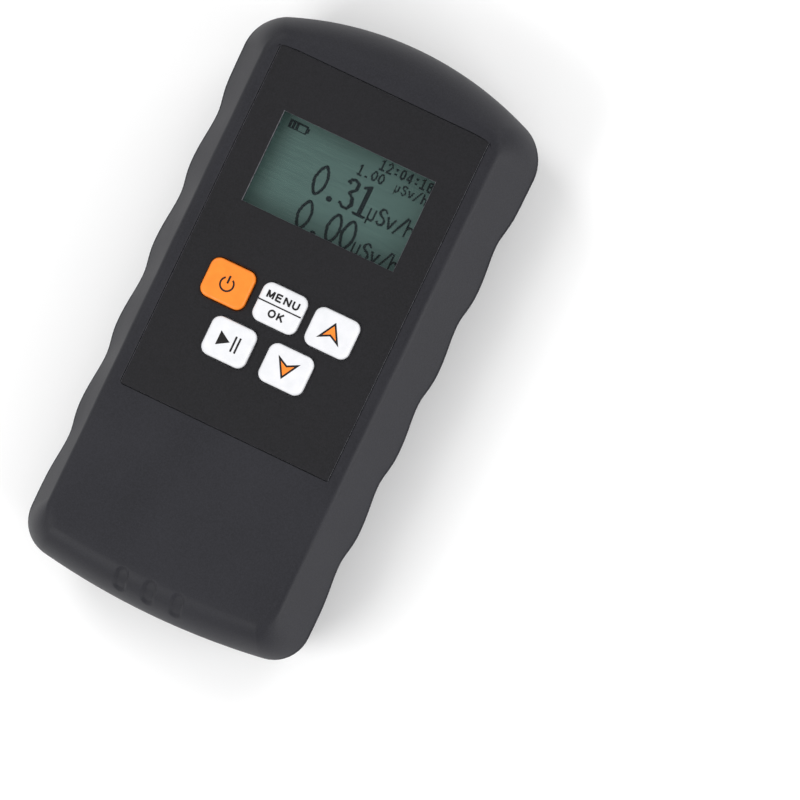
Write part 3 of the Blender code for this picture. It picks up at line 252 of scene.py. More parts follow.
def body_ring(share, face_z, parting_z, inset, side_inset, steps):
    """A ring between the flat face (share 0) and the parting plane (share 1).

    On a side it is the straight mix of the two outlines; on an end the mix goes out as the sine of
    a quarter turn and down as one minus its cosine, which is a quarter ellipse.
    """
    face, parting = face_outline(inset, side_inset, steps), parting_outline(inset, side_inset, steps)
    endness = face[:, 2]
    out = share + (math.sin(share * math.pi / 2) - share) * endness
    down = share + (1 - math.cos(share * math.pi / 2) - share) * endness
    flat = face[:, :2] + (parting[:, :2] - face[:, :2]) * out[:, None]
    return np.column_stack([flat, face_z + (parting_z - face_z) * down])


def crease_rings(count, face_z, parting_z, steps):
    """Quadratic curve from the flat face over the crease to the slope."""
    before = level(face_outline(CREASE, CREASE, steps), face_z)
    corner = level(face_outline(0, 0, steps), face_z)
    after = body_ring(CREASE_SHARE, face_z, parting_z, 0, 0, steps)
    t = np.linspace(0, 1, count)[:, None, None]
    return (1 - t) ** 2 * before + 2 * t * (1 - t) * corner + t**2 * after


def skin_rings(face_z, parting_z, steps, roll_steps):
    """The outside from the crease down the slope to a rounded lip at the parting plane."""
    sign = 1 if face_z > parting_z else -1
    slope = [body_ring(share, face_z, parting_z, 0, 0, steps)
             for share in np.linspace(CREASE_SHARE, 0.975, roll_steps)[1:]]
    turn = np.linspace(0.2, math.pi / 2, 5)
    lip = [level(parting_outline(LIP * (1 - math.cos(a)), LIP * (1 - math.cos(a)), steps),
                 parting_z + sign * LIP * (1 - math.sin(a))) for a in turn]
    return [*crease_rings(9, face_z, parting_z, steps), *slope, *lip]


def inner_rings(face_z, parting_z, inner_z, steps, count=8):
    """The inside wall from the parting plane up to the inner face, drawn in by the wall."""
    return [body_ring(share, inner_z, parting_z, WALL, WALL, steps)
            for share in np.linspace(1, 0, count)]


# %% [markdown]
# ## The front shell
# The front shell is one moulding: a rolled skin, a shallow pocket for the graphic panel with a
# ledge under it, and a tongue along the parting plane that steps into the back shell, so no light
# shows through the seam. Three soft slots are pressed into the heel. The whole section is one
# closed chain of rings. The slots are pressed in by moving points inwards along the surface's own
# normal, by an amount that fades at the slot's edge.

# %% Front shell
panel_low, panel_high = span("front_panel")
PANEL_LEDGE = 1.7
SLOT_PITCH = 7.8
SLOT_HALF_WIDTH = 1.5
SLOT_HALF_RUN = 2.0  # straight part of a slot, between its round ends
SLOT_RISE = 4.6  # body's heel end to the middle of the slots
SLOT_DEPTH = 0.5
SLOT_FADE = 0.8


def panel_outline(grow, steps):
    """The panel's rectangle, grown outwards, with the same count of points as the body's outline."""
    return outline(
        (panel_high[0] + grow,) * 2, (panel_high[1] + grow, panel_low[1] - grow),
        (1e5, 1e5), (0.5 + max(grow, 0),) * 2, False, steps)


def press_slots(rings, face_z, depth):
    """Moves ring points inwards by depth * smoothstep of how far they lie inside a slot.

    A slot is every point nearer than its half width to a short line up the roll.
    """
    along = np.gradient(rings, axis=0)
    around = np.roll(rings, -1, axis=1) - np.roll(rings, 1, axis=1)
    normal = np.cross(around, along)
    normal /= np.maximum(np.linalg.norm(normal, axis=-1, keepdims=True), 1e-9)
    normal *= np.sign(normal[..., 2:3] + 1e-9)
    centre_y = -HALF_LENGTH + SLOT_RISE
    share = 1 - SLOT_RISE / HEEL_ROLL
    centre_z = face_z - depth * (1 - math.sqrt(1 - share**2))
    slope = math.atan2(depth * share, HEEL_ROLL * math.sqrt(1 - share**2))
    run = (rings[..., 1] - centre_y) * math.cos(slope) + (rings[..., 2] - centre_z) * math.sin(slope)
    past = np.maximum(np.abs(run) - SLOT_HALF_RUN, 0)
    pressed = np.zeros(rings.shape[:2])
    for index in (-1, 0, 1):
        away = np.hypot(rings[..., 0] - index * SLOT_PITCH, past)
        inside = np.clip((SLOT_HALF_WIDTH + SLOT_FADE / 2 - away) / SLOT_FADE, 0, 1)
        pressed = np.maximum(pressed, inside**2 * (3 - 2 * inside))
    pressed[rings[..., 1] > centre_y + 8] = 0
    return rings - normal * (SLOT_DEPTH * pressed)[..., None]


def front_shell():
    lip_z = PARTING_Z + GAP / 2
    inner_z = FACE_Z - WALL
    floor_z = panel_low[2] - GAP
    edge = level(face_outline(CREASE, CREASE, FINE), FACE_Z)
    pocket = level(panel_outline(GAP + 0.12, FINE), FACE_Z)
    flat = [pocket + (edge - pocket) * share for share in (0, 0.03, 0.35, 0.7, 0.96)]
    skin = np.array([*flat, *skin_rings(FACE_Z, lip_z, FINE, 34)])
    skin = press_slots(skin, FACE_Z, FACE_Z - lip_z)
    tongue = [level(parting_outline(inset, inset, FINE), z) for inset, z in (
        (1.2, lip_z), (1.3, lip_z - 0.1), (1.35, lip_z - 1.1), (2.1, lip_z - 1.1))]
    inside = inner_rings(FACE_Z, lip_z, inner_z, FINE)
    well = [level(panel_outline(grow, FINE), z) for grow, z in (
        (-PANEL_LEDGE, inner_z), (-PANEL_LEDGE, floor_z), (GAP, floor_z), (GAP, FACE_Z - 0.12))]
    return lofted("front_shell_skin", [*skin, *tongue, *inside, *well], wrap=True)


skin = front_shell()
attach(skin, "housing")
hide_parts("front_shell")
print("front shell:", len(skin.data.polygons), "faces")

# %% [markdown]
# ## Joining and cutting solids
# Openings, seats and ribs come from one closed solid cutting or joining another, as a toolmaker
# would think of them. The Boolean modifier does this exactly when both solids are closed. Its
# result is then kept as the piece's own mesh, and the cutters are thrown away.

# %% Boolean, box and turned helpers
def joined(name, parts):
    """One object from several, each an island of its own."""
    work = bmesh.new()
    for part in parts:
        work.from_mesh(part.data)
        bpy.data.objects.remove(part)
    mesh = bpy.data.meshes.new(name)
    work.to_mesh(mesh)
    work.free()
    return linked(name, mesh)


def combined(target, operation, others):
    """Joins or cuts target with others that stay clear of each other, and keeps the result."""
    tool = joined(f"{target.name}_tool", others)
    modifier = target.modifiers.new(operation, "BOOLEAN")
    modifier.operation, modifier.solver, modifier.object = operation, "EXACT", tool
    settle(target)
    bpy.data.objects.remove(tool)
    return target


def settle(piece):
    """Keeps what the modifiers made as the piece's own mesh."""
    graph = bpy.context.evaluated_depsgraph_get()
    mesh = bpy.data.meshes.new_from_object(piece.evaluated_get(graph))
    piece.modifiers.clear()
    piece.data = mesh
    piece.data.name = piece.name
    return piece


BOX_FACES = [(0, 3, 2, 1), (4, 5, 6, 7), (0, 1, 5, 4), (1, 2, 6, 5), (2, 3, 7, 6), (3, 0, 4, 7)]


def box(name, low, high):
    """A solid box between two corners."""
    low, high = np.minimum(low, high), np.maximum(low, high)
    corners = np.array([(low[0], low[1]), (high[0], low[1]), (high[0], high[1]), (low[0], high[1])])
    points = np.vstack([level(corners, low[2]), level(corners, high[2])])
    return new_piece(name, points, BOX_FACES)


def place(origin, axis):
    """A 3 x 4 matrix that carries local +Z onto axis at origin."""
    z = np.array(axis, float) / np.linalg.norm(axis)
    x = np.cross((0, 0, 1) if abs(z[2]) < 0.9 else (1, 0, 0), z)
    x /= np.linalg.norm(x)
    return np.column_stack([x, np.cross(z, x), z, origin])


def turned(name, profile, where, sides=48, sharp_degrees=30.0):
    """A lathe shape: each (radius, height) of the profile goes once round the local Z axis."""
    profile = np.asarray(profile, float)
    angle = np.arange(sides) * 2 * math.pi / sides
    radius, height = profile[:, :1], profile[:, 1:]
    local = np.stack([radius * np.cos(angle), radius * np.sin(angle), height + 0 * angle], -1)
    rings = local @ where[:, :3].T + where[:, 3]
    return lofted(name, rings, sharp_degrees=sharp_degrees)


def cylinder(name, x, y, radius, low_z, high_z, sides=48):
    return turned(name, [(radius, low_z), (radius, high_z)], place((x, y, 0), (0, 0, 1)), sides)


def rounded_rectangle(centre, width, height, corner, steps=10):
    """Four quarter circles joined by straight sides, anticlockwise."""
    turn = np.linspace(0, math.pi / 2, steps + 1)
    parts = []
    for quarter, (sx, sy) in enumerate(((1, 1), (-1, 1), (-1, -1), (1, -1))):
        angle = turn + quarter * math.pi / 2
        parts.append(np.column_stack([
            centre[0] + sx * (width / 2 - corner) + corner * np.cos(angle),
            centre[1] + sy * (height / 2 - corner) + corner * np.sin(angle)]))
    return np.vstack(parts)


def prism(name, flat, low_z, high_z):
    """A flat outline carried straight up, with one flat face at each end."""
    count = len(flat)
    points = np.vstack([level(flat, low_z), level(flat, high_z)])
    around = np.arange(count)
    after = (around + 1) % count
    sides = np.stack([around, after, after + count, around + count], -1).tolist()
    area = (np.roll(flat, -1, 0)[:, 1] * flat[:, 0] - np.roll(flat, -1, 0)[:, 0] * flat[:, 1]).sum()
    faces = [around[::-1].tolist(), (around + count).tolist(), *sides]
    return new_piece(name, points, faces if area > 0 else [face[::-1] for face in faces], 30.0)


def merged_copy(node, name):
    """A CAD node's mesh as one joined skin, with its flat areas as single faces."""
    work = bmesh.new()
    work.from_mesh(frame["nodes"][node].data)
    bmesh.ops.remove_doubles(work, verts=work.verts, dist=2e-6)
    bmesh.ops.dissolve_limit(work, angle_limit=math.radians(1.0), verts=work.verts, edges=work.edges)
    mesh = bpy.data.meshes.new(name)
    work.to_mesh(mesh)
    work.free()
    mesh.shade_smooth()
    mesh.set_sharp_from_angle(angle=math.radians(35))
    return linked(name, mesh)


def soften(piece, width, segments=3):
    """Rounds the sharp edges by that width in millimetres."""
    bevel = piece.modifiers.new("soft edges", "BEVEL")
    bevel.width, bevel.segments = width * MM, segments
    bevel.limit_method, bevel.angle_limit = "ANGLE", math.radians(35)
    bevel.harden_normals = True
    return settle(piece)


def levelness(piece):
    """The size of each face's normal along Z: 1 on a level face, 0 on an upright one."""
    normals = np.empty(len(piece.data.polygons) * 3)
    piece.data.polygons.foreach_get("normal", normals)
    return abs(normals[2::3])


def level_faces_flat(piece):
    """Shades the faces that lie level without smoothing, so a slope beside them doesn't tint them."""
    piece.data.polygons.foreach_set("use_smooth", levelness(piece) < 0.9999)


def ready(piece, body, slot, *nodes):
    """Says which body the piece rides on and which CAD nodes it stands for; slot, the finish it would
    take, is not used.
    """
    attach(piece, body)
    if nodes:
        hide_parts(*nodes)
    return piece


# %% [markdown]
# ## The graphic panel
# A thin polycarbonate overlay covers the front. It is a stamped sheet with one window and five
# openings for the keys, so a plate with cutters through it is the honest way to make it. The
# shell's own floor under it is the same shape, a little thicker.

# %% Front panel and the floor under it
KEYS = ("power", "menu", "up", "run", "down")
KEY_FLANGE = 0.8  # the hidden flange reaches this far past the cap
KEY_CLEARANCE = 0.3
pane_low, pane_high = span("display_pane")
PANE_OVERLAP = 2.5
window_low, window_high = pane_low + PANE_OVERLAP, pane_high - PANE_OVERLAP
key_boxes = {key: span(f"key_{key}") for key in KEYS}
KEY_WIDTH = key_boxes["menu"][1][0] - key_boxes["menu"][0][0] - 2 * KEY_FLANGE
KEY_HEIGHT = key_boxes["menu"][1][1] - key_boxes["menu"][0][1] - 2 * KEY_FLANGE
KEY_CORNER = 2.3
KEY_TOP_Z = key_boxes["menu"][1][2]
key_centres = {key: (low[:2] + high[:2]) / 2 for key, (low, high) in key_boxes.items()}


def openings(name, clearance):
    """Cutters for the display window and the five keys."""
    low = (*(window_low[:2] - clearance), FACE_Z - FAR)
    cutters = [box(f"{name}_window", low, (*(window_high[:2] + clearance), FACE_Z + FAR))]
    for key, centre in key_centres.items():
        room = 2 * KEY_CLEARANCE
        corner = KEY_CORNER + KEY_CLEARANCE
        flat = rounded_rectangle(centre, KEY_WIDTH + room, KEY_HEIGHT + room, corner)
        cutters.append(prism(f"{name}_{key}", flat, FACE_Z - FAR, FACE_Z + FAR))
    return cutters


def pierced_plate(name, grow, low_z, high_z, clearance, edge):
    plate = box(name, (panel_low[0] - grow, panel_low[1] - grow, low_z),
                (panel_high[0] + grow, panel_high[1] + grow, high_z))
    combined(plate, "DIFFERENCE", openings(name, clearance))
    return soften(plate, edge, 2)


panel = pierced_plate("front_panel_overlay", 0.14, panel_low[2], panel_high[2], 0.0, 0.12)
ready(panel, "housing", "panel", "front_panel")
floor_plate = pierced_plate("front_shell_floor", GAP / 2, FACE_Z - WALL, panel_low[2] - GAP, GAP, 0.08)
ready(floor_plate, "housing", "shell")
print("panel:", np.round(panel_high - panel_low, 1), "mm, key caps", round(KEY_WIDTH, 2), "by",
      round(KEY_HEIGHT, 2), "mm")

# %% [markdown]
# ## Keys
# Each key is one soft moulding: a stem that meets the switch, a flange that stops under the panel,
# and a cap with a well rounded rim. Its section is a short list of sizes from bottom to top, and
# every level is a rounded rectangle. The rim is a quarter of a squashed circle, so the top stays
# flat where the symbol is printed.

# %% Key caps
RIM_WIDTH = 0.8
RIM_DROP = 0.7
STEM = (4.0, 4.0, 1.0)  # width, depth and corner
FLANGE_THICKNESS = 0.8


def key_cap(key):
    """The stem, the flange, the side, nine levels of the rim and the flat top."""
    centre = key_centres[key]
    low, high = key_boxes[key]
    flange_top = FACE_Z - WALL - GAP
    flange = (KEY_WIDTH + 2 * KEY_FLANGE, KEY_HEIGHT + 2 * KEY_FLANGE, KEY_CORNER + KEY_FLANGE)
    levels = [(*STEM, low[2]), (*STEM, flange_top - FLANGE_THICKNESS),
              (*flange, flange_top - FLANGE_THICKNESS), (*flange, flange_top)]
    levels += [(KEY_WIDTH + 0.05, KEY_HEIGHT + 0.05, KEY_CORNER, flange_top)]
    for turn in np.linspace(0, math.pi / 2, 9):
        inward = RIM_WIDTH * (1 - math.cos(turn))
        rim_z = high[2] - RIM_DROP * (1 - math.sin(turn))
        levels.append((KEY_WIDTH - 2 * inward, KEY_HEIGHT - 2 * inward, KEY_CORNER - inward * 0.6,
                       rim_z))
    levels.append((KEY_WIDTH - 2 * RIM_WIDTH - 0.4, KEY_HEIGHT - 2 * RIM_WIDTH - 0.4, KEY_CORNER - 0.7,
                   high[2]))
    rings = [level(rounded_rectangle(centre, width, height, corner), z) for width, height, corner,
             z in levels]
    return lofted(f"key_{key}_cap", rings)


key_caps = {}
for key in KEYS:
    slot = "key_orange" if key == "power" else "key_white"
    key_caps[key] = ready(key_cap(key), f"{key}_key", slot, f"key_{key}")
print("key tops at z", round(KEY_TOP_Z, 2), "mm")

# %% [markdown]
# ## Symbols on the keys
# The symbols are printed ink, a few hundredths of a millimetre proud. A stroke is a path with a
# width: each of its points is moved sideways along the corner's bisector, which keeps the stroke
# even round a bend. The lettering is made of the same strokes: each capital is a few paths in a
# unit box, scaled to the size of the line.

# %% Printed symbols
INK_LIFT = 0.03
ORANGE_LIFT = 0.02
INK_ROOT = KEY_TOP_Z - 0.05  # the ink starts this far inside the cap, so no gap shows
INK_STEP = 0.001  # between strokes that cross
ARROW_SIZE = 4.6


def arc(x, y, rx, ry, start, end, count=12):
    """Points on part of an ellipse, in degrees."""
    turn = np.radians(np.linspace(start, end, count))
    return np.column_stack([x + rx * np.cos(turn), y + ry * np.sin(turn)]).tolist()


def stroke(name, path, width, closed, lift=INK_LIFT):
    """A thin bar of even width along a flat path, standing on the key tops.

    The sideways step at a corner is the sum of the two sides' normals over one plus their cosine.
    """
    path = np.asarray(path, float)
    after = np.roll(path, -1, 0) if closed else np.vstack([path[1:], path[-1:] * 2 - path[-2:-1]])
    before = np.roll(path, 1, 0) if closed else np.vstack([path[:1] * 2 - path[1:2], path[:-1]])
    normals = [np.column_stack([-d[:, 1], d[:, 0]]) / np.linalg.norm(d, axis=1, keepdims=True)
               for d in (path - before, after - path)]
    cosine = (normals[0] * normals[1]).sum(1, keepdims=True)
    side = (normals[0] + normals[1]) / (1 + cosine) * width / 2
    rings = np.stack([level(path - side, INK_ROOT), level(path + side, INK_ROOT),
                      level(path + side, KEY_TOP_Z + lift), level(path - side, KEY_TOP_Z + lift)], 1)
    return lofted(name, rings, wrap=closed, sharp_degrees=20)


LETTERS = {
    "M": [[(0, 0), (0, 1)], [(0.03, 0.98), (0.5, 0.12)], [(0.5, 0.12), (0.97, 0.98)], [(1, 1), (1, 0)]],
    "E": [[(0.06, 0), (0.06, 1)], [(0.06, 0.93), (0.94, 0.93)], [(0.06, 0.52), (0.86, 0.52)],
          [(0.06, 0.07), (0.98, 0.07)]],
    "N": [[(0.03, 0), (0.03, 1)], [(0.05, 0.95), (0.95, 0.05)], [(0.97, 1), (0.97, 0)]],
    "U": [[(0.05, 1), *arc(0.5, 0.42, 0.45, 0.36, 180, 360, 13), (0.95, 1)]],
    "O": [arc(0.5, 0.5, 0.5, 0.44, 0, 360, 29)[:-1]],
    "K": [[(0.06, 0), (0.06, 1)], [(0.08, 0.36), (0.88, 1)], [(0.36, 0.58), (0.96, 0)]],
}


def lettering(words, centre, cap_height, width, pitch, thick):
    """Bold capitals as strokes; each is a hair higher than the last, so none share a face."""
    bars = []
    left = centre[0] - (width + pitch * (len(words) - 1)) / 2
    for number, letter in enumerate(words):
        corner = (left + number * pitch, centre[1] - cap_height / 2)
        for path in LETTERS[letter]:
            drawn = np.array(path) * (width, cap_height) + corner
            bars.append(stroke("bar", drawn, thick, letter == "O", INK_LIFT + INK_STEP * len(bars)))
    return bars


def arrowhead(centre, size, up):
    """Tip, right foot, notch and left foot of a notched arrowhead."""
    sign = 1 if up else -1
    corners = np.array([(0, 0.50), (0.54, -0.42), (0, -0.15), (-0.54, -0.42)])
    return corners * (size, size * sign) + centre


def power_symbol(centre):
    turn = np.radians(np.linspace(125, 415, 41))
    ring = 1.75 * np.column_stack([np.cos(turn), np.sin(turn)]) + centre + (0, -0.25)
    bar = np.array([(0, -0.05), (0, 2.0)]) + centre
    return joined("power_symbol", [stroke("ring", ring, 0.46, False),
                                   stroke("bar", bar, 0.52, False, INK_LIFT + INK_STEP)])


def menu_symbols(centre):
    line = np.array([(-KEY_WIDTH / 2 + 0.12, 0.05), (KEY_WIDTH / 2 - 0.12, 0.05)]) + centre
    return joined("menu_symbols", [
        stroke("rule", line, 0.34, False, INK_LIFT + 0.01),
        *lettering("MENU", centre + (0.1, 2.15), 1.9, 1.55, 2.32, 0.47),
        *lettering("OK", centre + (0.1, -2.1), 1.9, 1.6, 2.4, 0.47)])


def run_symbol(centre):
    triangle = np.array([(-2.78, 1.85), (-2.78, -1.95), (0.4, -0.05)]) + centre
    bars = [stroke("bar", np.array([(x, 2.05), (x, -2.05)]) + centre, 0.5, False) for x in (1.44, 2.55)]
    return joined("run_symbol", [prism("triangle", triangle, INK_ROOT, KEY_TOP_Z + INK_LIFT), *bars])


def arrow_symbol(key, centre, up):
    return stroke(f"{key}_arrow", arrowhead(centre, ARROW_SIZE, up), 0.48, True)


symbols = {
    "power": power_symbol(key_centres["power"]),
    "menu": menu_symbols(key_centres["menu"]),
    "run": run_symbol(key_centres["run"]),
    "up": arrow_symbol("up", key_centres["up"], True),
    "down": arrow_symbol("down", key_centres["down"], False),
}
for key, symbol in symbols.items():
    ready(symbol, f"{key}_key", "panel")
arrow_fills = {}
for key, up in (("up", True), ("down", False)):
    flat = arrowhead(key_centres[key], ARROW_SIZE, up)[::-1 if up else 1]
    fill = prism(f"{key}_arrow_fill", flat, INK_ROOT, KEY_TOP_Z + ORANGE_LIFT)
    arrow_fills[key] = ready(fill, f"{key}_key", "key_orange")
print("symbols:", ", ".join(symbol.name for symbol in symbols.values()))

# %% [markdown]
# ## The display
# The liquid crystal display is a grid of tiny square dots, and every sign is a set of dark ones.
# A sign is drawn as a few strokes in a unit box; a dot is dark when its middle lies nearer to a
# stroke than half the stroke's width. That gives the stepped edges of a real dot display. The
# reading runs on under the window's edge at the right and at the bottom, as on the real one.

# %% Dots of the reading
DOT_PITCH = 0.245
DOT_SIZE = 0.225
lcd_low, lcd_high = span("lcd_glass")


def pointed_oval(half_width, half_height, count=41):
    """A closed path whose powers of 1.6 sum to one: fuller than a diamond, leaner than an ellipse."""
    turn = np.linspace(0, 2 * math.pi, count)
    sides = [np.sign(wave) * np.abs(wave) ** (2 / 1.6) for wave in (np.cos(turn), np.sin(turn))]
    return np.column_stack([0.5 + half_width * sides[0], 0.5 + half_height * sides[1]]).tolist()


SIGNS = {
    "0": [pointed_oval(0.40, 0.46)],
    "1": [[(0.2, 0.87), (0.53, 0.97), (0.53, 0.04)], [(0.2, 0.03), (0.84, 0.03)]],
    "I": [[(0.2, 0.87), (0.57, 0.97), (0.57, 0.04)], [(0.48, 0.93), (0.48, 0.04)],
          [(0.16, 0.03), (0.88, 0.03)]],
    "2": [arc(0.5, 0.72, 0.34, 0.25, 165, -35, 10) + [(0.16, 0.04), (0.88, 0.04)]],
    "3": [[(0.17, 0.84), (0.24, 0.93), (0.5, 0.97), (0.78, 0.89), (0.8, 0.7), (0.42, 0.54),
           (0.78, 0.4), (0.9, 0.22),
           (0.7, 0.06), (0.4, 0.04), (0.12, 0.15)],
          [(0.76, 0.86), (0.72, 0.7)], [(0.72, 0.4), (0.82, 0.22), (0.72, 0.12)],
          [(0.14, 0.85), (0.24, 0.83)]],
    "4": [[(0.68, 0.02), (0.68, 0.96), (0.1, 0.28), (0.92, 0.28)]],
    "8": [arc(0.5, 0.74, 0.30, 0.22, 0, 360, 17), arc(0.5, 0.27, 0.36, 0.25, 0, 360, 19)],
    ".": [arc(0.45, 0.09, 0.1, 0.04, 0, 360, 9)],
    ":": [arc(0.5, 0.7, 0.09, 0.05, 0, 360, 7), arc(0.5, 0.24, 0.09, 0.05, 0, 360, 7)],
    "u": [[(0.2, 0.66), (0.2, -0.2)], [(0.2, 0.2)] + arc(0.48, 0.2, 0.28, 0.18, 200, 340, 8)
          + [(0.78, 0.66)]],
    "S": [arc(0.5, 0.73, 0.34, 0.23, 30, 200, 11) + [(0.5, 0.5)]
          + arc(0.5, 0.26, 0.36, 0.24, 70, -150, 13)],
    "v": [[(0.1, 0.64), (0.48, 0.04), (0.88, 0.64)]],
    "/": [[(0.05, -0.04), (0.95, 1.04)]],
    "h": [[(0.16, 1.0), (0.16, 0.03)], [(0.16, 0.42)] + arc(0.5, 0.42, 0.32, 0.2, 160, 0, 8)
          + [(0.82, 0.03)]],
    " ": [],
}


def distance_to_path(points, path):
    """Smallest distance from each point to the straight runs of a path."""
    start, end = np.array(path[:-1], float), np.array(path[1:], float)
    run = end - start
    from_start = points[:, None] - start
    share = np.clip((from_start * run).sum(-1) / (run**2).sum(-1), 0, 1)
    return np.linalg.norm(from_start - share[..., None] * run, axis=-1).min(1)


def dark_dots(words, left, base, wide, high, pitch, thick, dots):
    """Marks the dots of a line of signs; sizes in millimetres from the window's upper left corner."""
    for number, sign in enumerate(words):
        for path in SIGNS[sign]:
            drawn = np.array(path) * (wide, high) + (left + number * pitch, base)
            dots |= distance_to_path(dot_centres, drawn) < thick / 2


columns = int((lcd_high[0] - lcd_low[0] - 1) / DOT_PITCH)
rows = int((lcd_high[1] - lcd_low[1] - 1) / DOT_PITCH)
grid_x, grid_y = np.meshgrid(np.arange(columns), np.arange(rows))
lcd_middle = (lcd_low + lcd_high) / 2
dot_places = np.column_stack([
    lcd_middle[0] + (grid_x.ravel() - columns / 2 + 0.5) * DOT_PITCH,
    lcd_middle[1] + (grid_y.ravel() - rows / 2 + 0.5) * DOT_PITCH])
dot_centres = dot_places - (window_low[0], window_high[1])
lit = np.zeros(len(dot_centres), bool)
ROWS_OF_SIGNS = (  # signs; left, base; width, height, pitch and thickness of a sign
    ("12:04:18", 26.9, -3.05, 1.5, 2.55, 1.88, 0.48),
    ("1.00", 22.3, -6.35, 1.5, 2.55, 1.88, 0.48),
    ("uSv/h", 32.6, -6.35, 1.5, 2.4, 1.86, 0.45),
    ("0.3I", 12.93, -15.7, 4.07, 8.0, 4.07, 0.78),
    ("uSv/h", 29.15, -15.6, 2.5, 4.3, 2.6, 0.6),
    ("0.00", 12.93, -25.1, 4.07, 8.0, 4.07, 0.78),
    ("uSv/h", 29.15, -25.0, 2.5, 4.3, 2.6, 0.6),
)
for row in ROWS_OF_SIGNS:
    dark_dots(*row, lit)
BATTERY_CORNER = (1.5, -3.2)
BATTERY_SIZE = (5.0, 2.1)
BATTERY_RIM = 0.35
battery_x, battery_y = (dot_centres - BATTERY_CORNER).T


def in_battery(rim):
    """The dots that lie inside the battery sign by more than the rim."""
    return ((battery_x > rim) & (battery_x < BATTERY_SIZE[0] - rim)
            & (battery_y > rim) & (battery_y < BATTERY_SIZE[1] - rim))


charge = in_battery(BATTERY_RIM) & (battery_x < 2.9) & ((battery_x % 1.0) < 0.62)
knob = ((battery_x >= BATTERY_SIZE[0]) & (battery_x < BATTERY_SIZE[0] + 0.5)
        & (abs(battery_y - BATTERY_SIZE[1] / 2) < 0.6))
lit |= (in_battery(0) & ~in_battery(BATTERY_RIM)) | charge | knob


def dot_mesh(name, centres, size, low_z, high_z):
    """A low square block at each centre: eight corners and six faces, numbered block by block."""
    corners = np.array([(-1, -1), (1, -1), (1, 1), (-1, 1)]) * size / 2
    flat = centres[:, None] + corners
    blocks = np.concatenate([
        np.concatenate([flat, np.full((*flat.shape[:2], 1), z)], -1) for z in (low_z, high_z)], 1)
    numbers = np.array(BOX_FACES) + 8 * np.arange(len(centres))[:, None, None]
    return new_piece(name, blocks.reshape(-1, 3), numbers.reshape(-1, 4).tolist(), 20)


reading = dot_mesh("lcd_reading", dot_places[lit], DOT_SIZE, lcd_high[2] - 0.02, lcd_high[2] + 0.03)
ready(reading, "housing", "lcd")
glass = ready(soften(merged_copy("lcd_glass", "lcd_glass_sheet"), 0.15), "housing", "lcd", "lcd_glass")
print(f"display: {columns} by {rows} dots, {int(lit.sum())} of them dark")

# %% [markdown]
# ## The back shell
# The back shell is the same rolled skin turned over. It also holds the battery compartment: a
# recess that takes the door, the trough for two cells, a slot for the door's tongue, grooves for
# its lugs, two seats for the case screws and a row of small holes over the detector tube. The row
# follows the tube, so its direction comes from the tube's two end caps. Its level faces are shaded
# flat: smoothing would spread the shade of the slope beside them across the whole back.

# %% Places on the back
door_low, door_high = span("battery_door")
cell_box = {name: span(f"cell_{name}") for name in ("upper", "lower")}
CELL_RADIUS = (cell_box["upper"][1][2] - cell_box["upper"][0][2]) / 2
CELL_AXIS_Z = (cell_box["upper"][1][2] + cell_box["upper"][0][2]) / 2
CELL_ROOM = 0.4
cell_y = {name: (low[1] + high[1]) / 2 for name, (low, high) in cell_box.items()}
TONGUE_WIDTH = 11.0
TONGUE_LENGTH = 4.2
TONGUE_THICKNESS = 0.9
LUG_REACH = 0.9
LUG_LENGTH = 2.6
LUG_HEIGHT = 0.8
LUG_Y = -HALF_LENGTH + 12.5
DOOR_THICKNESS = 1.8
DOOR_WALL = 2.0
door_top_y = door_high[1] - TONGUE_LENGTH
door_half = door_high[0] - LUG_REACH
door_rise = door_high[2]
compartment_half = span("bridge_plate")[1][0] + GAP
compartment_low_y = cell_y["lower"] - CELL_RADIUS - CELL_ROOM
compartment_high_y = cell_y["upper"] + CELL_RADIUS + CELL_ROOM
compartment_top = CELL_AXIS_Z + CELL_RADIUS + CELL_ROOM
DOOR_SEAT = DOOR_THICKNESS + GAP
caps = {end: sum(span(f"tube_cap_{end}")) / 2 for end in ("heel", "top")}
tube_middle = (caps["heel"] + caps["top"]) / 2
tube_direction = (caps["top"] - caps["heel"]) / np.linalg.norm(caps["top"] - caps["heel"])
screw_box = {side: span(f"case_screw_{side}") for side in ("left", "right")}
screw_centre = {side: (low + high) / 2 for side, (low, high) in screw_box.items()}
SCREW_HEAD_RADIUS = (screw_box["left"][1][0] - screw_box["left"][0][0]) / 2
SCREW_HEAD_HEIGHT = 1.7
SCREW_BORE = 1.55  # radius of the hole that the shaft passes
HOLE_COUNT = 11
HOLE_PITCH = 4.56
HOLE_RADIUS = 0.85
ACCESS_HOLE_X = -14.2
ACCESS_HOLE_RADIUS = 2.6
CASE_WALL = 1.5
print("door", round(2 * door_half, 1), "mm wide; cells", round(2 * CELL_RADIUS, 1), "mm across")

# %% Back shell
def half_body(name, inset, steps, side_inset=0.0, rows=26):
    """The back half of the body as a solid, drawn in by inset at its face and its ends."""
    top = PARTING_Z - GAP / 2
    rings = [body_ring(share, inset, top, inset, side_inset, steps)
             for share in np.linspace(0, 1, rows)]
    return lofted(name, rings)


def door_block(name, grow, top_y, rise):
    return box(name, (-door_half - grow, -HALF_LENGTH - FAR, -FAR), (door_half + grow, top_y, rise))


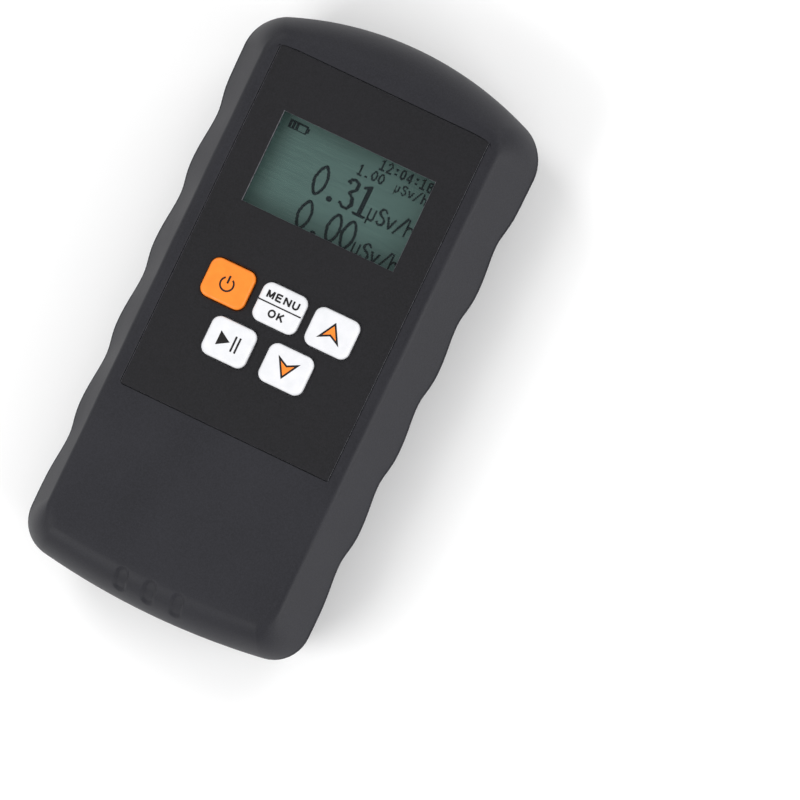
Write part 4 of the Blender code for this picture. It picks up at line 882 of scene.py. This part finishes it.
def back_skin():
    """The outside of the back shell with its inside, as one closed solid before anything is cut."""
    lip_z = PARTING_Z - GAP / 2
    edge = level(face_outline(CREASE, CREASE, MEDIUM), 0.0)
    flat = [edge * (share, share, 1) for share in (0.02, 0.3, 0.6, 0.85, 0.97)]
    step = [level(parting_outline(inset, inset, MEDIUM), z) for inset,
            z in ((1.0, lip_z), (1.1, lip_z - 0.1), (1.1, lip_z - 1.4))]
    inside = inner_rings(0.0, lip_z - 1.4, WALL, MEDIUM, 12)
    inner_edge = inside[-1]
    inner_flat = [inner_edge * (share, share, 1) for share in (0.7, 0.3, 0.02)]
    return lofted("back_shell_skin", [*flat, *skin_rings(0.0, lip_z, MEDIUM, 26), *step, *inside,
                                      *inner_flat])


def back_shell():
    shell = back_skin()
    liner = door_block("liner", GAP + DOOR_WALL / 2, door_top_y + DOOR_WALL, door_rise + DOOR_WALL)
    combined(liner, "INTERSECT", [half_body("liner_outside", WALL / 3, COARSE, WALL / 3, 8)])
    combined(liner, "DIFFERENCE", [half_body("liner_inside", DOOR_SEAT + DOOR_WALL, COARSE, WALL, 8)])
    case = box("case", (-compartment_half - CASE_WALL, compartment_low_y - CASE_WALL,
                        DOOR_SEAT + DOOR_WALL / 2),
               (compartment_half + CASE_WALL, compartment_high_y + CASE_WALL,
                compartment_top + CASE_WALL))
    slot_top = DOOR_THICKNESS + 0.2
    pad_half = TONGUE_WIDTH / 2 + 2.0
    pad = box("pad", (-pad_half, door_top_y - 1.0, WALL / 2),
              (pad_half, door_top_y + TONGUE_LENGTH + 2.0, slot_top + 1.4))
    bosses = [
        cylinder(f"boss_{side}", x, y, SCREW_HEAD_RADIUS + GAP + 1.6, DOOR_SEAT + DOOR_WALL,
                 PARTING_Z - 5.5)
        for side, (x, y, _) in screw_centre.items()]
    combined(shell, "UNION", [liner])
    combined(shell, "UNION", [case])
    combined(shell, "UNION", [pad, *bosses])
    recess = door_block("recess", GAP, door_top_y + GAP, door_rise + GAP)
    combined(recess, "DIFFERENCE", [half_body("recess_floor", DOOR_SEAT, MEDIUM)])
    combined(shell, "DIFFERENCE", [recess])
    hollow = box("hollow", (-compartment_half, compartment_low_y, -FAR),
                 (compartment_half, compartment_high_y, compartment_top))
    slot = box("slot", (-TONGUE_WIDTH / 2 - GAP, compartment_high_y - GAP,
                        DOOR_THICKNESS - TONGUE_THICKNESS - GAP),
               (TONGUE_WIDTH / 2 + GAP, door_top_y + TONGUE_LENGTH + GAP, slot_top))
    combined(shell, "DIFFERENCE", [hollow])
    cutters = [slot]
    for side, (x, y, _) in screw_centre.items():
        sign = np.sign(x)
        cutters.append(box(f"groove_{side}",
                           (sign * (door_half - 2), -HALF_LENGTH - FAR,
                            DOOR_THICKNESS - LUG_HEIGHT - GAP),
                           (sign * (door_half + LUG_REACH + GAP), LUG_Y + LUG_LENGTH / 2 + GAP,
                            slot_top)))
        seat_top = screw_box[side][0][2] + SCREW_HEAD_HEIGHT + GAP
        stepped = [(SCREW_HEAD_RADIUS + GAP, -FAR), (SCREW_HEAD_RADIUS + GAP, seat_top),
                   (SCREW_BORE, seat_top), (SCREW_BORE, FACE_Z)]
        cutters.append(turned(f"seat_{side}", stepped, place((x, y, 0), (0, 0, 1))))
    cutters.append(cylinder("access", ACCESS_HOLE_X, screw_centre["left"][1], ACCESS_HOLE_RADIUS, -FAR,
                            DOOR_SEAT + DOOR_WALL + FAR))
    combined(shell, "DIFFERENCE", cutters)
    holes = []
    for index in range(HOLE_COUNT):
        x, y, _ = tube_middle + tube_direction * (index - (HOLE_COUNT - 1) / 2) * HOLE_PITCH
        flare = [(HOLE_RADIUS + 0.4, -0.3), (HOLE_RADIUS + 0.12, 0.0), (HOLE_RADIUS, 0.12),
                 (HOLE_RADIUS, WALL + 1)]
        holes.append(turned(f"hole_{index}", flare, place((x, y, 0), (0, 0, 1)), 32))
    return combined(shell, "DIFFERENCE", holes)


back = ready(back_shell(), "housing", "shell", "back_shell")
back.data.set_sharp_from_angle(angle=math.radians(32))
level_faces_flat(back)
print("back shell:", len(back.data.polygons), "faces")

# %% [markdown]
# ## The battery door
# The door is a skin of the back shell's own surface, cut out by a block, so it closes flush and
# wraps round the heel. A tongue at its upper edge enters the shell, a lug on each side slides in a
# groove, and a patch of ridges gives the thumb a hold.

# %% Battery door
RIDGE_COUNT = 5
RIDGE_PITCH = 1.6
RIDGE_LENGTH = 9.0
RIDGE_WIDTH = 0.8
RIDGE_DEPTH = 0.45


def battery_door():
    door = half_body("battery_door_skin", 0.0, MEDIUM, rows=40)
    combined(door, "INTERSECT", [door_block("outline", 0.0, door_top_y, door_rise)])
    combined(door, "DIFFERENCE", [half_body("inside", DOOR_THICKNESS, MEDIUM)])
    tongue = rounded_rectangle((0, door_top_y + TONGUE_LENGTH / 2 - 1.5), TONGUE_WIDTH,
                               TONGUE_LENGTH + 3, 1.2, 8)
    extras = [prism("tongue", tongue, DOOR_THICKNESS - TONGUE_THICKNESS, DOOR_THICKNESS - 0.03)]
    for sign in (-1, 1):
        extras.append(box(f"lug_{sign}", (sign * (door_half - 2), LUG_Y - LUG_LENGTH / 2,
                                          DOOR_THICKNESS - LUG_HEIGHT),
                          (sign * (door_half + LUG_REACH), LUG_Y + LUG_LENGTH / 2,
                           DOOR_THICKNESS - 0.03)))
    combined(door, "UNION", extras)
    grooves = []
    for index in range(RIDGE_COUNT):
        y = door_top_y - 3.0 - index * RIDGE_PITCH
        groove = rounded_rectangle((0, y), RIDGE_LENGTH, RIDGE_WIDTH, 0.39, 6)
        grooves.append(prism(f"groove_{index}", groove, -FAR, RIDGE_DEPTH))
    return combined(door, "DIFFERENCE", grooves)


door = ready(battery_door(), "door", "shell", "battery_door")
door.data.set_sharp_from_angle(angle=math.radians(32))
level_faces_flat(door)
print("battery door:", len(door.data.polygons), "faces")

# %% [markdown]
# ## Cells, springs and contacts
# Two round cells lie across the heel. Each is turned: a sleeve with shrunk shoulders, a crimped
# groove near the positive end and a raised nub. The springs are cones of round wire, so they are a
# circle carried along a helix whose radius shrinks from the plate to the tip.

# %% Cells
def cell(name):
    """Profile from the flat end to the nub, along the direction in which the nub points."""
    low, high = cell_box[name]
    sign = 1 if name == "upper" else -1
    start = np.array([low[0] if sign > 0 else high[0], cell_y[name], CELL_AXIS_Z])
    length = high[0] - low[0]
    shoulder, r = length - 1.4, CELL_RADIUS
    can = [(0.6, 0.06), (5.4, 0.06), (5.5, 0.12), (5.6, 0.3), (r - 0.7, 0.3),
           (r - 0.55, 0.05), (r - 0.2, 0.12), (r - 0.03, 0.45), (r, 0.8)]
    ridge = [(r, shoulder - 4.2), (r - 0.28, shoulder - 3.6), (r - 0.28, shoulder - 3.2),
             (r, shoulder - 2.6), (r, shoulder - 0.9), (r - 0.1, shoulder - 0.35),
             (r - 0.5, shoulder - 0.02), (r - 0.9, shoulder - 0.1)]
    nub = [(r - 1.0, shoulder - 0.4), (2.9, shoulder - 0.4), (2.75, shoulder - 0.2),
           (2.7, length - 0.35), (2.4, length)]
    return turned(f"cell_{name}_can", can + ridge + nub, place(start, (sign, 0, 0)), 64, 35)


cells = {name: ready(cell(name), "housing", "cell_sleeve", f"cell_{name}") for name in cell_box}
print("cell length", round(cell_box["upper"][1][0] - cell_box["upper"][0][0], 1), "mm")


# %% Springs
WIRE_RADIUS = 0.35
SPRING_TURNS = 4.5
SPRING_WIDE = 3.8  # radius at the plate
SPRING_NARROW = 2.2  # radius at the tip


def swept(name, path, radius, sides=10):
    """A round wire: each ring lies in the plane across the path, turned as little as possible."""
    path = np.asarray(path, float)
    along = np.gradient(path, axis=0)
    along /= np.linalg.norm(along, axis=1, keepdims=True)
    axis = np.array([1.0, 0, 0]) if abs(along[:, 0]).max() < 0.9 else np.array([0.3, 0.2, 1.0])
    first = np.cross(along, axis)
    first /= np.linalg.norm(first, axis=1, keepdims=True)
    second = np.cross(along, first)
    angle = np.arange(sides) * 2 * math.pi / sides
    rings = path[:, None] + radius * (first[:, None] * np.cos(angle)[:, None]
                                      + second[:, None] * np.sin(angle)[:, None])
    return lofted(name, rings)


def contact_spring(node):
    """A cone of wire: the radius falls evenly from the plate to the tip, with a flat turn at each end."""
    low, high = span(node)
    toward = -1 if low[0] > 0 else 1
    wall = high[0] if toward < 0 else low[0]
    reach = high[0] - low[0] - 2 * WIRE_RADIUS
    share = np.linspace(0, 1, 260)
    turn = 2 * math.pi * SPRING_TURNS * share
    rise = np.clip((share - 0.16) / 0.72, 0, 1)
    radius = SPRING_WIDE + (SPRING_NARROW - SPRING_WIDE) * share
    y = (low[1] + high[1]) / 2
    path = np.column_stack([
        wall + toward * (WIRE_RADIUS + reach * rise), y + radius * np.cos(turn),
        CELL_AXIS_Z + radius * np.sin(turn)])
    return ready(swept(f"{node}_coil", path, WIRE_RADIUS), "housing", "nickel", node)


springs = [contact_spring(node) for node in ("bridge_spring", "negative_spring")]


def contact_plate(node):
    """The CAD's own stamped strip, with its edges softened."""
    plate = soften(merged_copy(node, f"{node}_strip"), 0.12, 2)
    return ready(plate, "housing", "nickel", node)


plates = [contact_plate(node) for node in ("bridge_plate", "negative_plate", "positive_plate")]
print("springs and plates:", len(springs) + len(plates))


# %% Screws
SHAFT_RADIUS = 1.25


def case_screw(side):
    """A pan head with a cross recess, on a plain shaft with a pointed end."""
    low, high = screw_box[side]
    x, y, _ = screw_centre[side]
    r, base = SCREW_HEAD_RADIUS, low[2]
    seat = base + SCREW_HEAD_HEIGHT
    head = [(r * 0.55, base), (r * 0.8, base + 0.15), (r * 0.96, base + 0.55), (r, base + 1.0),
            (r, seat - 0.1), (r - 0.1, seat)]
    shaft = [(SHAFT_RADIUS, seat), (SHAFT_RADIUS, high[2] - 0.8), (0.7, high[2])]
    screw = turned(f"case_screw_{side}_steel", head + shaft, place((x, y, 0), (0, 0, 1)), 48)
    cross = [box(f"cross_{wide}", (x - wide, y - tall, base - 1), (x + wide, y + tall, base + 1.0))
             for wide, tall in ((1.45, 0.32), (0.32, 1.45))]
    combined(screw, "DIFFERENCE", cross[:1])
    combined(screw, "DIFFERENCE", cross[1:])
    return ready(screw, "housing", "steel", f"case_screw_{side}")


screws = [case_screw(side) for side in screw_box]
print("case screws at y", round(screw_centre["left"][1], 1), "mm")

# %% [markdown]
# ## Making materials
# Colours are given as the eye sees them, in sRGB hex, and one function turns them to the linear
# values that the shader needs. Another adds a node: a setting is a plain value or another node's
# output. Pattern sizes are in millimetres, because Object coordinates are in metres here.

# %% Colour and node helpers
def linear(hex_colour):
    """sRGB to linear: the standard curve, with its straight part near black."""
    parts = [int(hex_colour[i:i + 2], 16) / 255 for i in (1, 3, 5)]
    return (*(c / 12.92 if c <= 0.04045 else ((c + 0.055) / 1.055) ** 2.4 for c in parts), 1.0)


def per(size_mm):
    """The texture scale whose features are about that many millimetres across."""
    return 1000 / size_mm


def feed(tree, socket, value):
    """Links another node's output to the socket, or writes a plain value on it."""
    if isinstance(value, bpy.types.NodeSocket):
        tree.links.new(value, socket)
    else:
        socket.default_value = value


def add(tree, kind, **settings):
    """Adds a node. A setting named for a socket fills or links it; any other sets the node's own option.

    Spaces in a socket's name are written as underscores, and in_0, in_1 name sockets by number.
    """
    node = tree.nodes.new("ShaderNode" + kind)
    sockets = {socket.name.replace(" ", "_"): socket for socket in reversed(node.inputs)
               if socket.enabled}
    sockets.update({f"in_{number}": socket for number, socket in enumerate(node.inputs)})
    later = []
    for name, value in settings.items():
        if name in sockets:
            later.append((sockets[name], value))
        else:
            setattr(node, name, value)
    for socket, value in later:
        feed(tree, socket, value)
    return node


def fill(tree, shader, **settings):
    """Sets or links the shader's sockets, with underscores for the spaces in their names."""
    for name, value in settings.items():
        feed(tree, shader.inputs[name.replace("_", " ")], value)


def started(name):
    """A new material's tree, its Principled shader and its Object coordinates."""
    material = bpy.data.materials.new(name)
    material.use_nodes = True
    tree = material.node_tree
    shader = tree.nodes["Principled BSDF"]
    return material, tree, shader, add(tree, "TexCoord").outputs["Object"]


def paint(material, *pieces):
    """Puts the material on every slot of the pieces."""
    for piece in pieces:
        piece.data.materials.clear()
        piece.data.materials.append(material)


def mixed(tree, factor, first, second):
    """A colour between two, by a factor."""
    node = tree.nodes.new("ShaderNodeMix")
    node.data_type = "RGBA"
    for number, value in ((0, factor), (6, first), (7, second)):
        feed(tree, node.inputs[number], value)
    return node.outputs[2]


def ranged(tree, value, low, high, to_low, to_high):
    """Moves a value from one range to another, held at both ends."""
    return add(tree, "MapRange", Value=value, From_Min=low, From_Max=high, To_Min=to_low,
               To_Max=to_high).outputs[0]


def two_tone(tree, value, low, high, first, second):
    """The first colour where the value is low, the second where it is high, and a blend between."""
    return mixed(tree, ranged(tree, value, low, high, 0.0, 1.0), linear(first), linear(second))


def noise(tree, where, size_mm, detail, roughness=0.5):
    """A cloudy pattern with blotches of about that size."""
    made = add(tree, "TexNoise", Vector=where, Scale=per(size_mm), Detail=detail, Roughness=roughness)
    return made.outputs[0]


# %% [markdown]
# ## Spark-eroded ABS
# The housing is moulded ABS. The mould was eroded by sparks, which leaves a fine matt pebble of
# about 0.2 mm all over it, too fine to see as bumps but enough to spread every highlight. Here it
# is drawn at 0.35 mm so that it shows. Handling polishes the skin unevenly, so large soft
# patches change the roughness.

# %% Housing material
def abs_housing():
    material, tree, shader, where = started("spark_eroded_abs")
    pebble = noise(tree, where, 0.35, 3.0, 0.6)
    grit = add(tree, "TexVoronoi", Vector=where, Scale=per(0.5)).outputs["Distance"]
    patches = noise(tree, where, 28, 3.0)
    height = add(tree, "Math", operation="MULTIPLY_ADD", in_0=grit, in_1=0.5, in_2=pebble).outputs[0]
    bump = add(tree, "Bump", Height=height, Strength=0.35, Distance=0.00006)
    fleck = ranged(tree, pebble, 0.35, 0.7, 0.0, 1.0)
    tone = mixed(tree, fleck, linear("#18181d"), linear("#232329"))
    tone = mixed(tree, ranged(tree, patches, 0.3, 0.7, 0.0, 0.25), tone, linear("#303036"))
    fill(
        tree, shader,
        Base_Color=tone, Roughness=ranged(tree, patches, 0.3, 0.7, 0.50, 0.60), Normal=bump.outputs[0],
        IOR=1.53, Specular_IOR_Level=0.25)
    return material


abs_material = abs_housing()
paint(abs_material, skin, floor_plate, back, door)

# %% [markdown]
# ## Screen-printed polycarbonate
# The panel is a polycarbonate overlay, printed black from behind with a velvet front. Its texture
# is a tight grain of about 0.4 mm, which sparkles faintly in the light. At the cut edge the clear
# film shows past the ink, so the upright faces take a second, lighter material. That lightness is
# partly a painted highlight: it stands in for the thin glint along the panel's and the window's edges.

# %% Panel material
def overlay():
    material, tree, shader, where = started("velvet_polycarbonate")
    grain = noise(tree, where, 0.38, 2.0, 0.7)
    cloud = noise(tree, where, 35, 2.0)
    bump = add(tree, "Bump", Height=grain, Strength=0.75, Distance=0.00008)
    tone = two_tone(tree, grain, 0.35, 0.72, "#060609", "#151419")
    tone = mixed(tree, ranged(tree, cloud, 0.3, 0.7, 0.0, 0.2), tone, linear("#18171d"))
    fill(
        tree, shader,
        Base_Color=tone, Roughness=ranged(tree, grain, 0.3, 0.7, 0.42, 0.55), Normal=bump.outputs[0],
        IOR=1.58, Specular_IOR_Level=0.25)
    return material


def edge_with_painted_glint():
    """The film's own edge, where the clear sheet shows past the black ink: glossier, and lighter partly
    as a painted highlight for the glint along the edges.
    """
    material, tree, shader, where = started("cut_polycarbonate_edge")
    saw = noise(tree, where, 0.8, 2.0)
    # painted highlight: these light greys stand partly for the film's own edge and partly for the thin
    # glint along the panel's and the window's edges
    tone = two_tone(tree, saw, 0.35, 0.7, "#4a4a50", "#6c6c72")
    fill(tree, shader, Base_Color=tone, Roughness=ranged(tree, saw, 0.3, 0.7, 0.25, 0.4), IOR=1.58)
    return material


paint(overlay(), panel)
panel.data.materials.append(edge_with_painted_glint())
# the upright faces take the lighter edge material, which is partly a painted highlight
on_edge = levelness(panel) < 0.9
panel.data.polygons.foreach_set("material_index", on_edge.astype(np.int32))
print("panel edge faces:", int(on_edge.sum()))

# %% [markdown]
# ## Silicone rubber and ink
# The keys are moulded silicone rubber with a thin matt coat, a little mottled by handling. The ink
# of the symbols is a screen-printed epoxy, slightly uneven where it soaked into the coat.

# %% Key and ink materials
def key_rubber(name, colour, shade):
    material, tree, shader, where = started(name)
    mottle = noise(tree, where, 2.5, 4.0)
    fine = noise(tree, where, 0.3, 2.0)
    bump = add(tree, "Bump", Height=fine, Strength=0.15, Distance=0.00003)
    tone = two_tone(tree, mottle, 0.35, 0.7, colour, shade)
    fill(
        tree, shader,
        Base_Color=tone, Roughness=ranged(tree, mottle, 0.3, 0.7, 0.38, 0.48), Normal=bump.outputs[0],
        IOR=1.41)
    return material


def printed_ink():
    material, tree, shader, where = started("screen_printed_ink")
    soak = noise(tree, where, 0.5, 3.0)
    tone = two_tone(tree, soak, 0.4, 0.75, "#0d0b0c", "#1c1819")
    fill(
        tree, shader,
        Base_Color=tone, Roughness=ranged(tree, soak, 0.3, 0.7, 0.45, 0.6), Specular_IOR_Level=0.3)
    return material


white_rubber = key_rubber("white_silicone", "#e4e4e7", "#dcdde0")
orange_rubber = key_rubber("orange_silicone", "#f98a2c", "#f58224")
ink = printed_ink()
paint(white_rubber, *(key_caps[key] for key in KEYS if key != "power"))
paint(orange_rubber, key_caps["power"], *arrow_fills.values())
paint(ink, *symbols.values())

# %% [markdown]
# ## The display's glass and dots
# A reflective display looks grey-green: its polariser sheet sits over a brushed reflector. The
# unlit dots still show as a faint grid. The lit ones are twisted so that almost no light returns.

# %% Display materials
def display_glass():
    material, tree, shader, where = started("reflective_lcd_glass")
    split = add(tree, "SeparateXYZ", Vector=where)
    lines = []
    for axis in (0, 1):
        turns = add(tree, "Math", operation="MULTIPLY", in_0=split.outputs[axis],
                    in_1=2 * math.pi / (DOT_PITCH * MM)).outputs[0]
        wave = add(tree, "Math", operation="COSINE", in_0=turns).outputs[0]
        lines.append(ranged(tree, wave, 0.6, 1.0, 0.0, 1.0))
    grid = add(tree, "Math", operation="MAXIMUM", in_0=lines[0], in_1=lines[1]).outputs[0]
    brushed = add(tree, "Mapping", Vector=where, Scale=(per(6), per(0.3), per(6)),
                  Rotation=(0, 0, math.radians(35))).outputs[0]
    streaks = add(tree, "TexNoise", Vector=brushed, Scale=1.0, Detail=2.0).outputs[0]
    tone = two_tone(tree, streaks, 0.3, 0.7, "#49605c", "#516a65")
    tone = mixed(tree, ranged(tree, grid, 0, 1, 0, 0.12), tone, linear("#637c76"))
    fill(
        tree, shader, Base_Color=tone, Roughness=ranged(tree, streaks, 0.3, 0.7, 0.28, 0.40), IOR=1.5,
        Specular_IOR_Level=0.2)
    return material


def dark_crystal():
    material, tree, shader, where = started("driven_liquid_crystal")
    drift = noise(tree, where, 3, 2.0)
    tone = two_tone(tree, drift, 0.3, 0.7, "#060c12", "#0c141c")
    fill(
        tree, shader,
        Base_Color=tone, Roughness=ranged(tree, drift, 0.3, 0.7, 0.35, 0.45), Specular_IOR_Level=0.2)
    return material


def acrylic_pane():
    material, tree, shader, where = started("clear_acrylic_pane")
    smear = noise(tree, where, 9, 4.0)
    tone = mixed(tree, smear, linear("#2c3232"), linear("#3a4141"))
    fill(
        tree, shader,
        Base_Color=tone, Roughness=ranged(tree, smear, 0.3, 0.7, 0.04, 0.09), IOR=1.49, Alpha=0.06)
    return material


pane = ready(soften(merged_copy("display_pane", "display_window"), 0.1, 2), "housing", "clear_pane",
             "display_pane")
paint(display_glass(), glass)
paint(dark_crystal(), reading)
paint(acrylic_pane(), pane)

# %% [markdown]
# ## Metals, board and wires
# The parts inside keep their CAD shapes and get the finish of the real ones. Stamped steel and
# nickel show a directional brush. A circuit board is glass cloth under green solder mask, chips
# are moulded epoxy with a stippled top, ferrite is a sintered ceramic, and wires are PVC.

# %% Hardware materials
def brushed_metal(name, colour, shade, roughness, streak_mm):
    material, tree, shader, where = started(name)
    stretched = add(tree, "Mapping", Vector=where,
                    Scale=(per(streak_mm * 12), per(streak_mm), per(streak_mm))).outputs[0]
    streaks = add(tree, "TexNoise", Vector=stretched, Scale=1.0, Detail=4.0).outputs[0]
    stain = noise(tree, where, 4, 3.0)
    tone = two_tone(tree, stain, 0.35, 0.7, colour, shade)
    bump = add(tree, "Bump", Height=streaks, Strength=0.12, Distance=0.00002)
    fill(
        tree, shader,
        Base_Color=tone, Roughness=ranged(tree, streaks, 0.3, 0.7, roughness - 0.07, roughness + 0.1),
        Normal=bump.outputs[0], Metallic=1.0)
    return material


def grained_solid(name, colour, shade, roughness, grain_mm, height_mm, ior):
    """A dielectric with a two-tone grain of that size and height."""
    material, tree, shader, where = started(name)
    grain = noise(tree, where, grain_mm, 3.0)
    tone = two_tone(tree, grain, 0.35, 0.7, colour, shade)
    bump = add(tree, "Bump", Height=grain, Strength=0.4, Distance=height_mm * MM)
    fill(
        tree, shader,
        Base_Color=tone, Roughness=ranged(tree, grain, 0.3, 0.7, roughness - 0.05, roughness + 0.08),
        Normal=bump.outputs[0], IOR=ior)
    return material


def solder_mask():
    """Green mask over woven glass: a fine weave of two crossed waves, about 0.9 mm apart."""
    material, tree, shader, where = started("solder_mask_on_glass_cloth")
    warp = add(tree, "TexWave", Vector=where, Scale=per(3.0), bands_direction="X").outputs[1]
    weft = add(tree, "TexWave", Vector=where, Scale=per(3.0), bands_direction="Y").outputs[1]
    weave = add(tree, "Math", operation="MULTIPLY", in_0=warp, in_1=weft).outputs[0]
    tone = mixed(tree, weave, linear("#12512c"), linear("#1a6436"))
    bump = add(tree, "Bump", Height=weave, Strength=0.2, Distance=0.00003)
    fill(
        tree, shader,
        Base_Color=tone, Roughness=ranged(tree, weave, 0, 1, 0.3, 0.42), Normal=bump.outputs[0])
    return material


def shrink_sleeve():
    """Printed PVC sleeve: blue, with a pale band near each end and a shrunk, rippled skin."""
    material, tree, shader, where = started("shrunk_pvc_sleeve")
    ripple = noise(tree, where, 1.6, 3.0)
    x = add(tree, "SeparateXYZ", Vector=where).outputs[0]
    distance = add(tree, "Math", operation="ABSOLUTE", in_0=x).outputs[0]
    band = add(tree, "Math", operation="COMPARE", in_0=distance, in_1=0.0155, in_2=0.003).outputs[0]
    tone = two_tone(tree, ripple, 0.35, 0.7, "#1f3a6b", "#27467c")
    tone = mixed(tree, band, tone, linear("#c9ccd2"))
    bump = add(tree, "Bump", Height=ripple, Strength=0.15, Distance=0.00005)
    fill(
        tree, shader,
        Base_Color=tone, Roughness=ranged(tree, ripple, 0.3, 0.7, 0.22, 0.34), Normal=bump.outputs[0],
        IOR=1.53)
    return material


steel = brushed_metal("zinc_plated_steel", "#b9bcbf", "#a3a6a8", 0.32, 0.25)
nickel = brushed_metal("nickel_plated_strip", "#cbc6b8", "#b8b2a2", 0.24, 0.3)
drawn_tube = brushed_metal("drawn_tube_metal", "#8f9196", "#7b7d83", 0.36, 0.4)
epoxy = grained_solid("moulded_epoxy", "#1d1d1f", "#29292b", 0.5, 0.25, 0.03, 1.55)
ferrite = grained_solid("sintered_ferrite", "#2c2c2e", "#3b3a3b", 0.62, 0.4, 0.04, 2.0)
diffuser = grained_solid("milky_acrylic", "#dfe3df", "#e9ece9", 0.38, 1.5, 0.01, 1.49)
red_pvc = grained_solid("red_pvc_insulation", "#9d1a1a", "#b02424", 0.4, 0.8, 0.02, 1.53)
black_pvc = grained_solid("black_pvc_insulation", "#18181a", "#242427", 0.4, 0.8, 0.02, 1.53)
nodes = frame["nodes"]
board_screws = [f"board_screw_{end}_{side}" for end in ("top", "heel") for side in ("left", "right")]
paint(steel, *screws, nodes["lcd_bezel"], *(nodes[name] for name in board_screws))
paint(nickel, *springs, *plates, nodes["crystal"],
      *(nodes[f"tube_{kind}_{end}"] for kind in ("cap", "clip") for end in ("heel", "top")))
paint(drawn_tube, nodes["detector_tube"], nodes["hv_capacitor_1"], nodes["hv_capacitor_2"])
paint(epoxy, nodes["processor"], nodes["buzzer"],
      *(nodes[f"{kind}_{key}"] for kind in ("switch", "plunger") for key in KEYS))
paint(ferrite, nodes["hv_inductor"])
paint(diffuser, nodes["lcd_backlight"])
paint(red_pvc, nodes["supply_wire_red"])
paint(black_pvc, nodes["supply_wire_black"])
paint(solder_mask(), nodes["main_board"])
paint(shrink_sleeve(), *cells.values())
print("materials:", len([m for m in bpy.data.materials if m.users]))

# %% [markdown]
# ## Floor, light and camera
# The meter lies on a plain pale floor under four soft lights, as in a product studio. The camera
# looks almost straight down on the display, leaning a little to the reader's right, and is turned
# so that the meter stands at a slant in the frame.

# %% Stage
FLOOR_GAP = 0.0003  # metres left under the meter


def stage_floor():
    """A square sheet just under the meter."""
    half = 3.0 / MM
    corners = [(-half, -half, 0), (half, -half, 0), (half, half, 0), (-half, half, 0)]
    floor = new_piece("studio_floor", corners, [(0, 1, 2, 3)])
    floor.location.z = -FLOOR_GAP
    material, tree, shader, where = started("pale_studio_paper")
    mottle = noise(tree, where, 60, 3.0)
    tone = mixed(tree, mottle, linear("#fbfbfb"), linear("#fefefe"))
    fill(tree, shader, Base_Color=tone, Roughness=0.9)
    paint(material, floor)
    return floor


def soft_light(name, location, size, watts):
    """A square white light that faces the meter."""
    light = bpy.data.lights.new(name, "AREA")
    light.shape, light.size, light.energy = "SQUARE", size, watts
    lamp = linked(name, light)
    lamp.location = location
    lamp.rotation_euler = Vector([-part for part in location]).to_track_quat("-Z", "Y").to_euler()
    return lamp


floor = stage_floor()
LIGHTS = {  # place and side in metres, power in watts
    "heel_box": ((-0.30, -0.50, 0.55), 0.45, 3.0),
    "right_box": ((1.05, -0.10, 0.42), 0.9, 9.0),
    "left_box": ((-0.80, 0.50, 0.80), 0.5, 3.6),
    "top_box": ((0.35, 1.05, 0.60), 0.8, 4.2),
}
for name, (location, size, watts) in LIGHTS.items():
    soft_light(name, location, size, watts)
WORLD_STRENGTH = 0.52
world = bpy.data.worlds.new("studio_world")
world.use_nodes = True
background = world.node_tree.nodes["Background"]
background.inputs["Color"].default_value = (1, 1, 1, 1)
background.inputs["Strength"].default_value = WORLD_STRENGTH
bpy.context.scene.world = world
bpy.context.scene.view_settings.view_transform = "Standard"

# %% Camera
CAMERA_TILT = math.radians(12.0)  # from the display's normal towards +X
CAMERA_ROLL = math.radians(-25.5)
CAMERA_DISTANCE = 4.0
FIELD_WIDTH = 0.1977  # metres across the frame at the panel
SHIFT_RIGHT = 0.02354
SHIFT_UP = -0.03407
SENSOR_WIDTH = 36


def studio_camera():
    """A long lens that looks at a point beside the panel's centre, turned by the roll."""
    data = bpy.data.cameras.new("camera")
    camera = linked("camera", data)
    bpy.context.scene.camera = camera
    normal = np.array([math.sin(CAMERA_TILT), 0, math.cos(CAMERA_TILT)])
    across = np.array([math.cos(CAMERA_TILT), 0, -math.sin(CAMERA_TILT)])
    along = np.array([0.0, 1.0, 0.0])
    right = across * math.cos(CAMERA_ROLL) - along * math.sin(CAMERA_ROLL)
    up = across * math.sin(CAMERA_ROLL) + along * math.cos(CAMERA_ROLL)
    panel_centre = np.append((panel_low[:2] + panel_high[:2]) / 2, panel_high[2]) * MM
    aim = panel_centre + right * SHIFT_RIGHT + up * SHIFT_UP
    turn = Matrix(np.column_stack([right, up, normal]).tolist())
    camera.rotation_mode = "QUATERNION"
    camera.rotation_quaternion = turn.to_quaternion()
    camera.location = aim + normal * CAMERA_DISTANCE
    data.sensor_width = SENSOR_WIDTH
    data.lens = SENSOR_WIDTH * CAMERA_DISTANCE / FIELD_WIDTH
    data.clip_start, data.clip_end = 0.5, 30
    return camera


camera = studio_camera()
